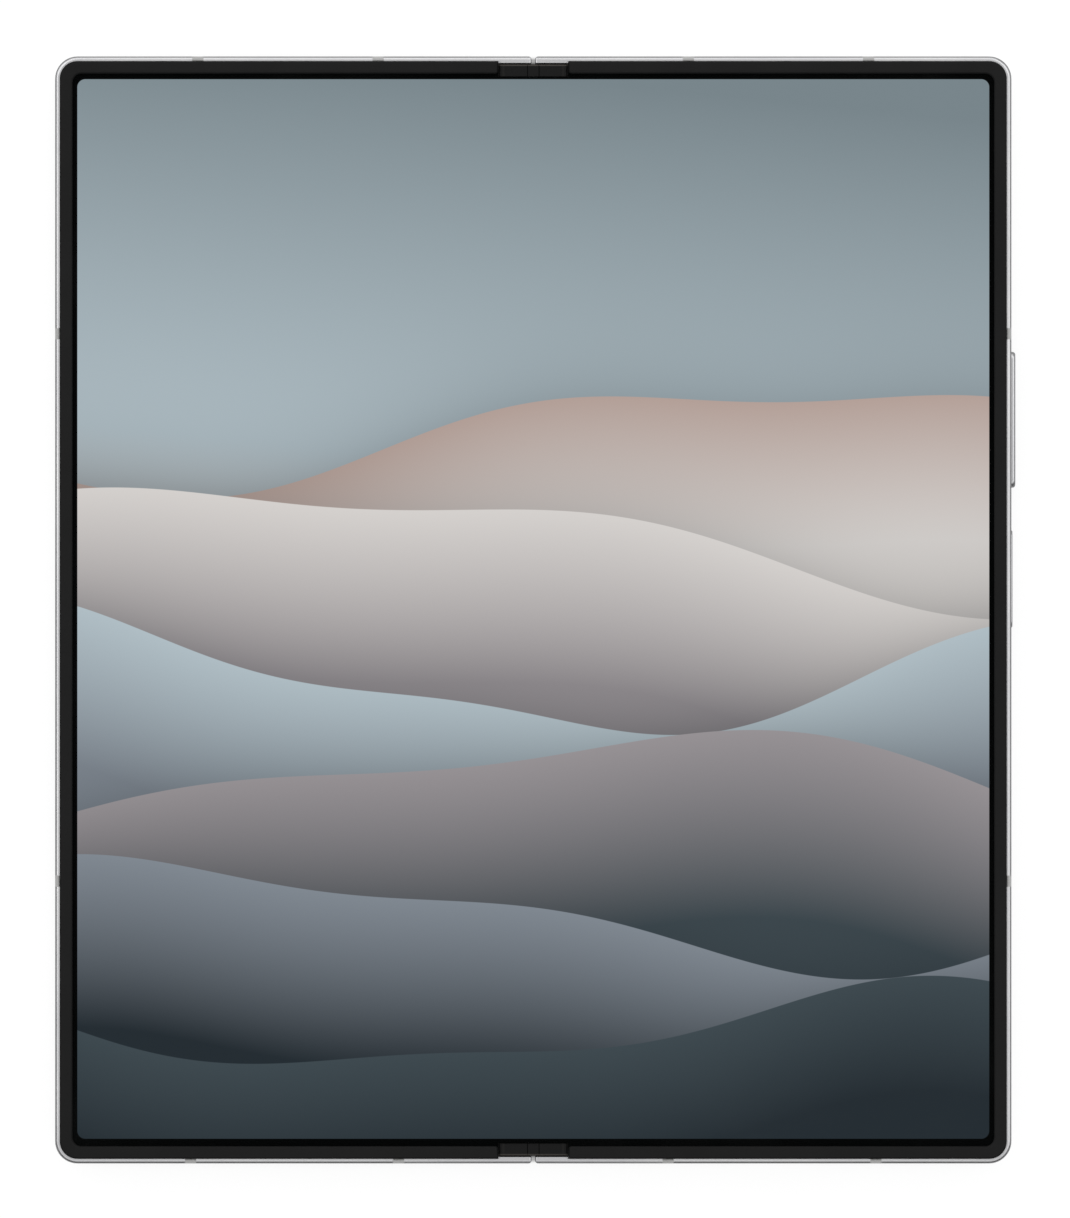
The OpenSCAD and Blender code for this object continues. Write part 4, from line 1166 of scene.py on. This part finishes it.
class PHONE_OT_stage(bpy.types.Operator):
    """Pale floor, soft studio light and a camera straight above"""

    bl_idname = "phone.stage"
    bl_label = "Stage"

    def execute(self, context):
        scene = context.scene
        scene.view_settings.view_transform = "Standard"
        self.floor()
        self.world(scene)
        self.lamps()
        self.camera(scene)
        return {"FINISHED"}

    def floor(self):
        """A wide sheet a hair under the lens rings, white to the camera but for a soft shadow.

        It carries a painted shadow under the slot between the frames' ends. Seen from below it is
        clear, and light reaches the phone's back through it.
        """
        made = Finish("studio_floor")
        made.set(Base_Color=(0.9, 0.9, 0.9, 1), Roughness=0.9, Specular_IOR_Level=0.1)
        seen, gloss, through = made.rays()
        x, y, _ = made.place()
        # painted shadow under the slot: the floor's glow made grey from the slot's mouth inwards,
        # in two stretches
        slot = abs(x).step(0.7, 0.5) * (
            abs(y).step(77.02, 76.45) * 0.62 + abs(y).step(76.27, 75.9) * 0.3
        )
        strength = (1.06 - gloss * 0.74) * (1.0 - slot)
        glow = made.node("Emission", Color=(1, 1, 1, 1), Strength=strength)
        air = made.node("AmbientOcclusion", {"samples": 12}, output=1, Distance=5.0 * MM)
        share = (seen + gloss + through).at_most(1.0) * ((air * 1.7).at_most(1.0) * 0.76 + 0.1)
        share = share.at_least((slot * 2.0).at_most(1.0) * seen)
        matt = Wire(made.tree, made.shader.outputs[0])
        solid = made.node("MixShader", _0=share, _1=matt, _2=glow)
        beneath = abs(x).step(66.4, 66.2) * abs(y).step(76.8, 76.6) * (1.0 - seen)
        open_side = (made.node("NewGeometry", output=6) + beneath).at_most(1.0)
        clear = made.node("BsdfTransparent")
        mixed = made.node("MixShader", _0=open_side, _1=solid, _2=clear)
        made.feed(made.tree.nodes["Material Output"], Surface=mixed)
        half, z = 1.5, -0.05 * MM
        corners = [(-half, -half, z), (half, -half, z), (half, half, z), (-half, half, z)]
        mesh = bpy.data.meshes.new("studio_floor")
        mesh.from_pydata(corners, [], [(0, 1, 2, 3)])
        mesh.materials.append(made.material)
        placed("studio_floor", mesh)

    def world(self, scene):
        """Even white all round, with a dark card overhead that keeps black glass black."""
        world = bpy.data.worlds.new("studio")
        scene.world = world
        world.use_nodes = True
        made = Nodes(world.node_tree)
        camera, glossy, through = made.rays()
        _, north, up = made.split(made.node("TexCoord"))
        card = up.step(math.cos(math.radians(5.5)), math.cos(math.radians(3.5)))
        high = abs(up).step(0.5, 0.82)
        rim_light = (north * 0.2 + 0.22) * (1.0 - high)
        sheen = (high * 0.95 + rim_light) * (1.0 - card)
        shown = (camera + through).at_most(1.0)
        soft = (1.0 - glossy) * 0.7
        strength = shown + (1.0 - shown) * (glossy * sheen + soft)
        made.feed(world.node_tree.nodes["Background"], Strength=strength, Color=(1, 1, 1, 1))

    def lamps(self):
        """A soft panel from each side and one from the far end, the left one the strongest."""
        for name, spot, power in (
            ("left_panel", (-0.9, 0.5, 0.9), 4.0),
            ("right_panel", (0.9, 0.3, 0.8), 3.0),
            ("far_panel", (0.0, 1.1, 0.7), 3.0),
        ):
            lamp = bpy.data.lights.new(name, "AREA")
            lamp.size = 1.2
            lamp.energy = power
            made = placed(name, lamp)
            made.location = spot
            made.rotation_euler = (-made.location.normalized()).to_track_quat("-Z", "Y").to_euler()

    def camera(self, scene):
        """A long lens straight above, a hair off the middle as in the photograph."""
        lens = bpy.data.cameras.new("photo_camera")
        lens.lens = 400
        lens.sensor_width = 36
        lens.clip_end = 20
        made = scene.camera = placed("photo_camera", lens)
        away = FRAME_HEIGHT * lens.lens / lens.sensor_width
        made.location = (CAMERA_X * MM, CAMERA_Y * MM, (away + DISPLAY_Z) * MM)


STEPS = (
    PHONE_OT_frames, PHONE_OT_rims, PHONE_OT_display, PHONE_OT_hinge, PHONE_OT_keys,
    PHONE_OT_glass, PHONE_OT_cameras, PHONE_OT_sockets, PHONE_OT_inside, PHONE_OT_stage,
)


class PHONE_PT_panel(bpy.types.Panel):
    """Lists the phone's values and its building steps"""

    bl_label = "Foldable smartphone"
    bl_idname = "PHONE_PT_panel"
    bl_space_type = "VIEW_3D"
    bl_region_type = "UI"
    bl_category = "Phone"

    def draw(self, context):
        for group in (display_values(), body_values()):
            box = self.layout.box()
            for key in group.bl_rna.properties.keys():
                if key not in ("rna_type", "name"):
                    box.prop(group, key)
        for step in STEPS:
            self.layout.operator(step.bl_idname)


CLASSES = (PHONE_PG_display, PHONE_PG_body, *STEPS, PHONE_PT_panel)


def register():
    for each in CLASSES:
        bpy.utils.register_class(each)
    bpy.types.Scene.phone_display = bpy.props.PointerProperty(type=PHONE_PG_display)
    bpy.types.Scene.phone_body = bpy.props.PointerProperty(type=PHONE_PG_body)


def unregister():
    del bpy.types.Scene.phone_body
    del bpy.types.Scene.phone_display
    for each in reversed(CLASSES):
        bpy.utils.unregister_class(each)


def main():
    register()
    for step in STEPS:
        getattr(bpy.ops.phone, step.bl_idname.split(".")[1])()


if __name__ == "__main__":
    main()
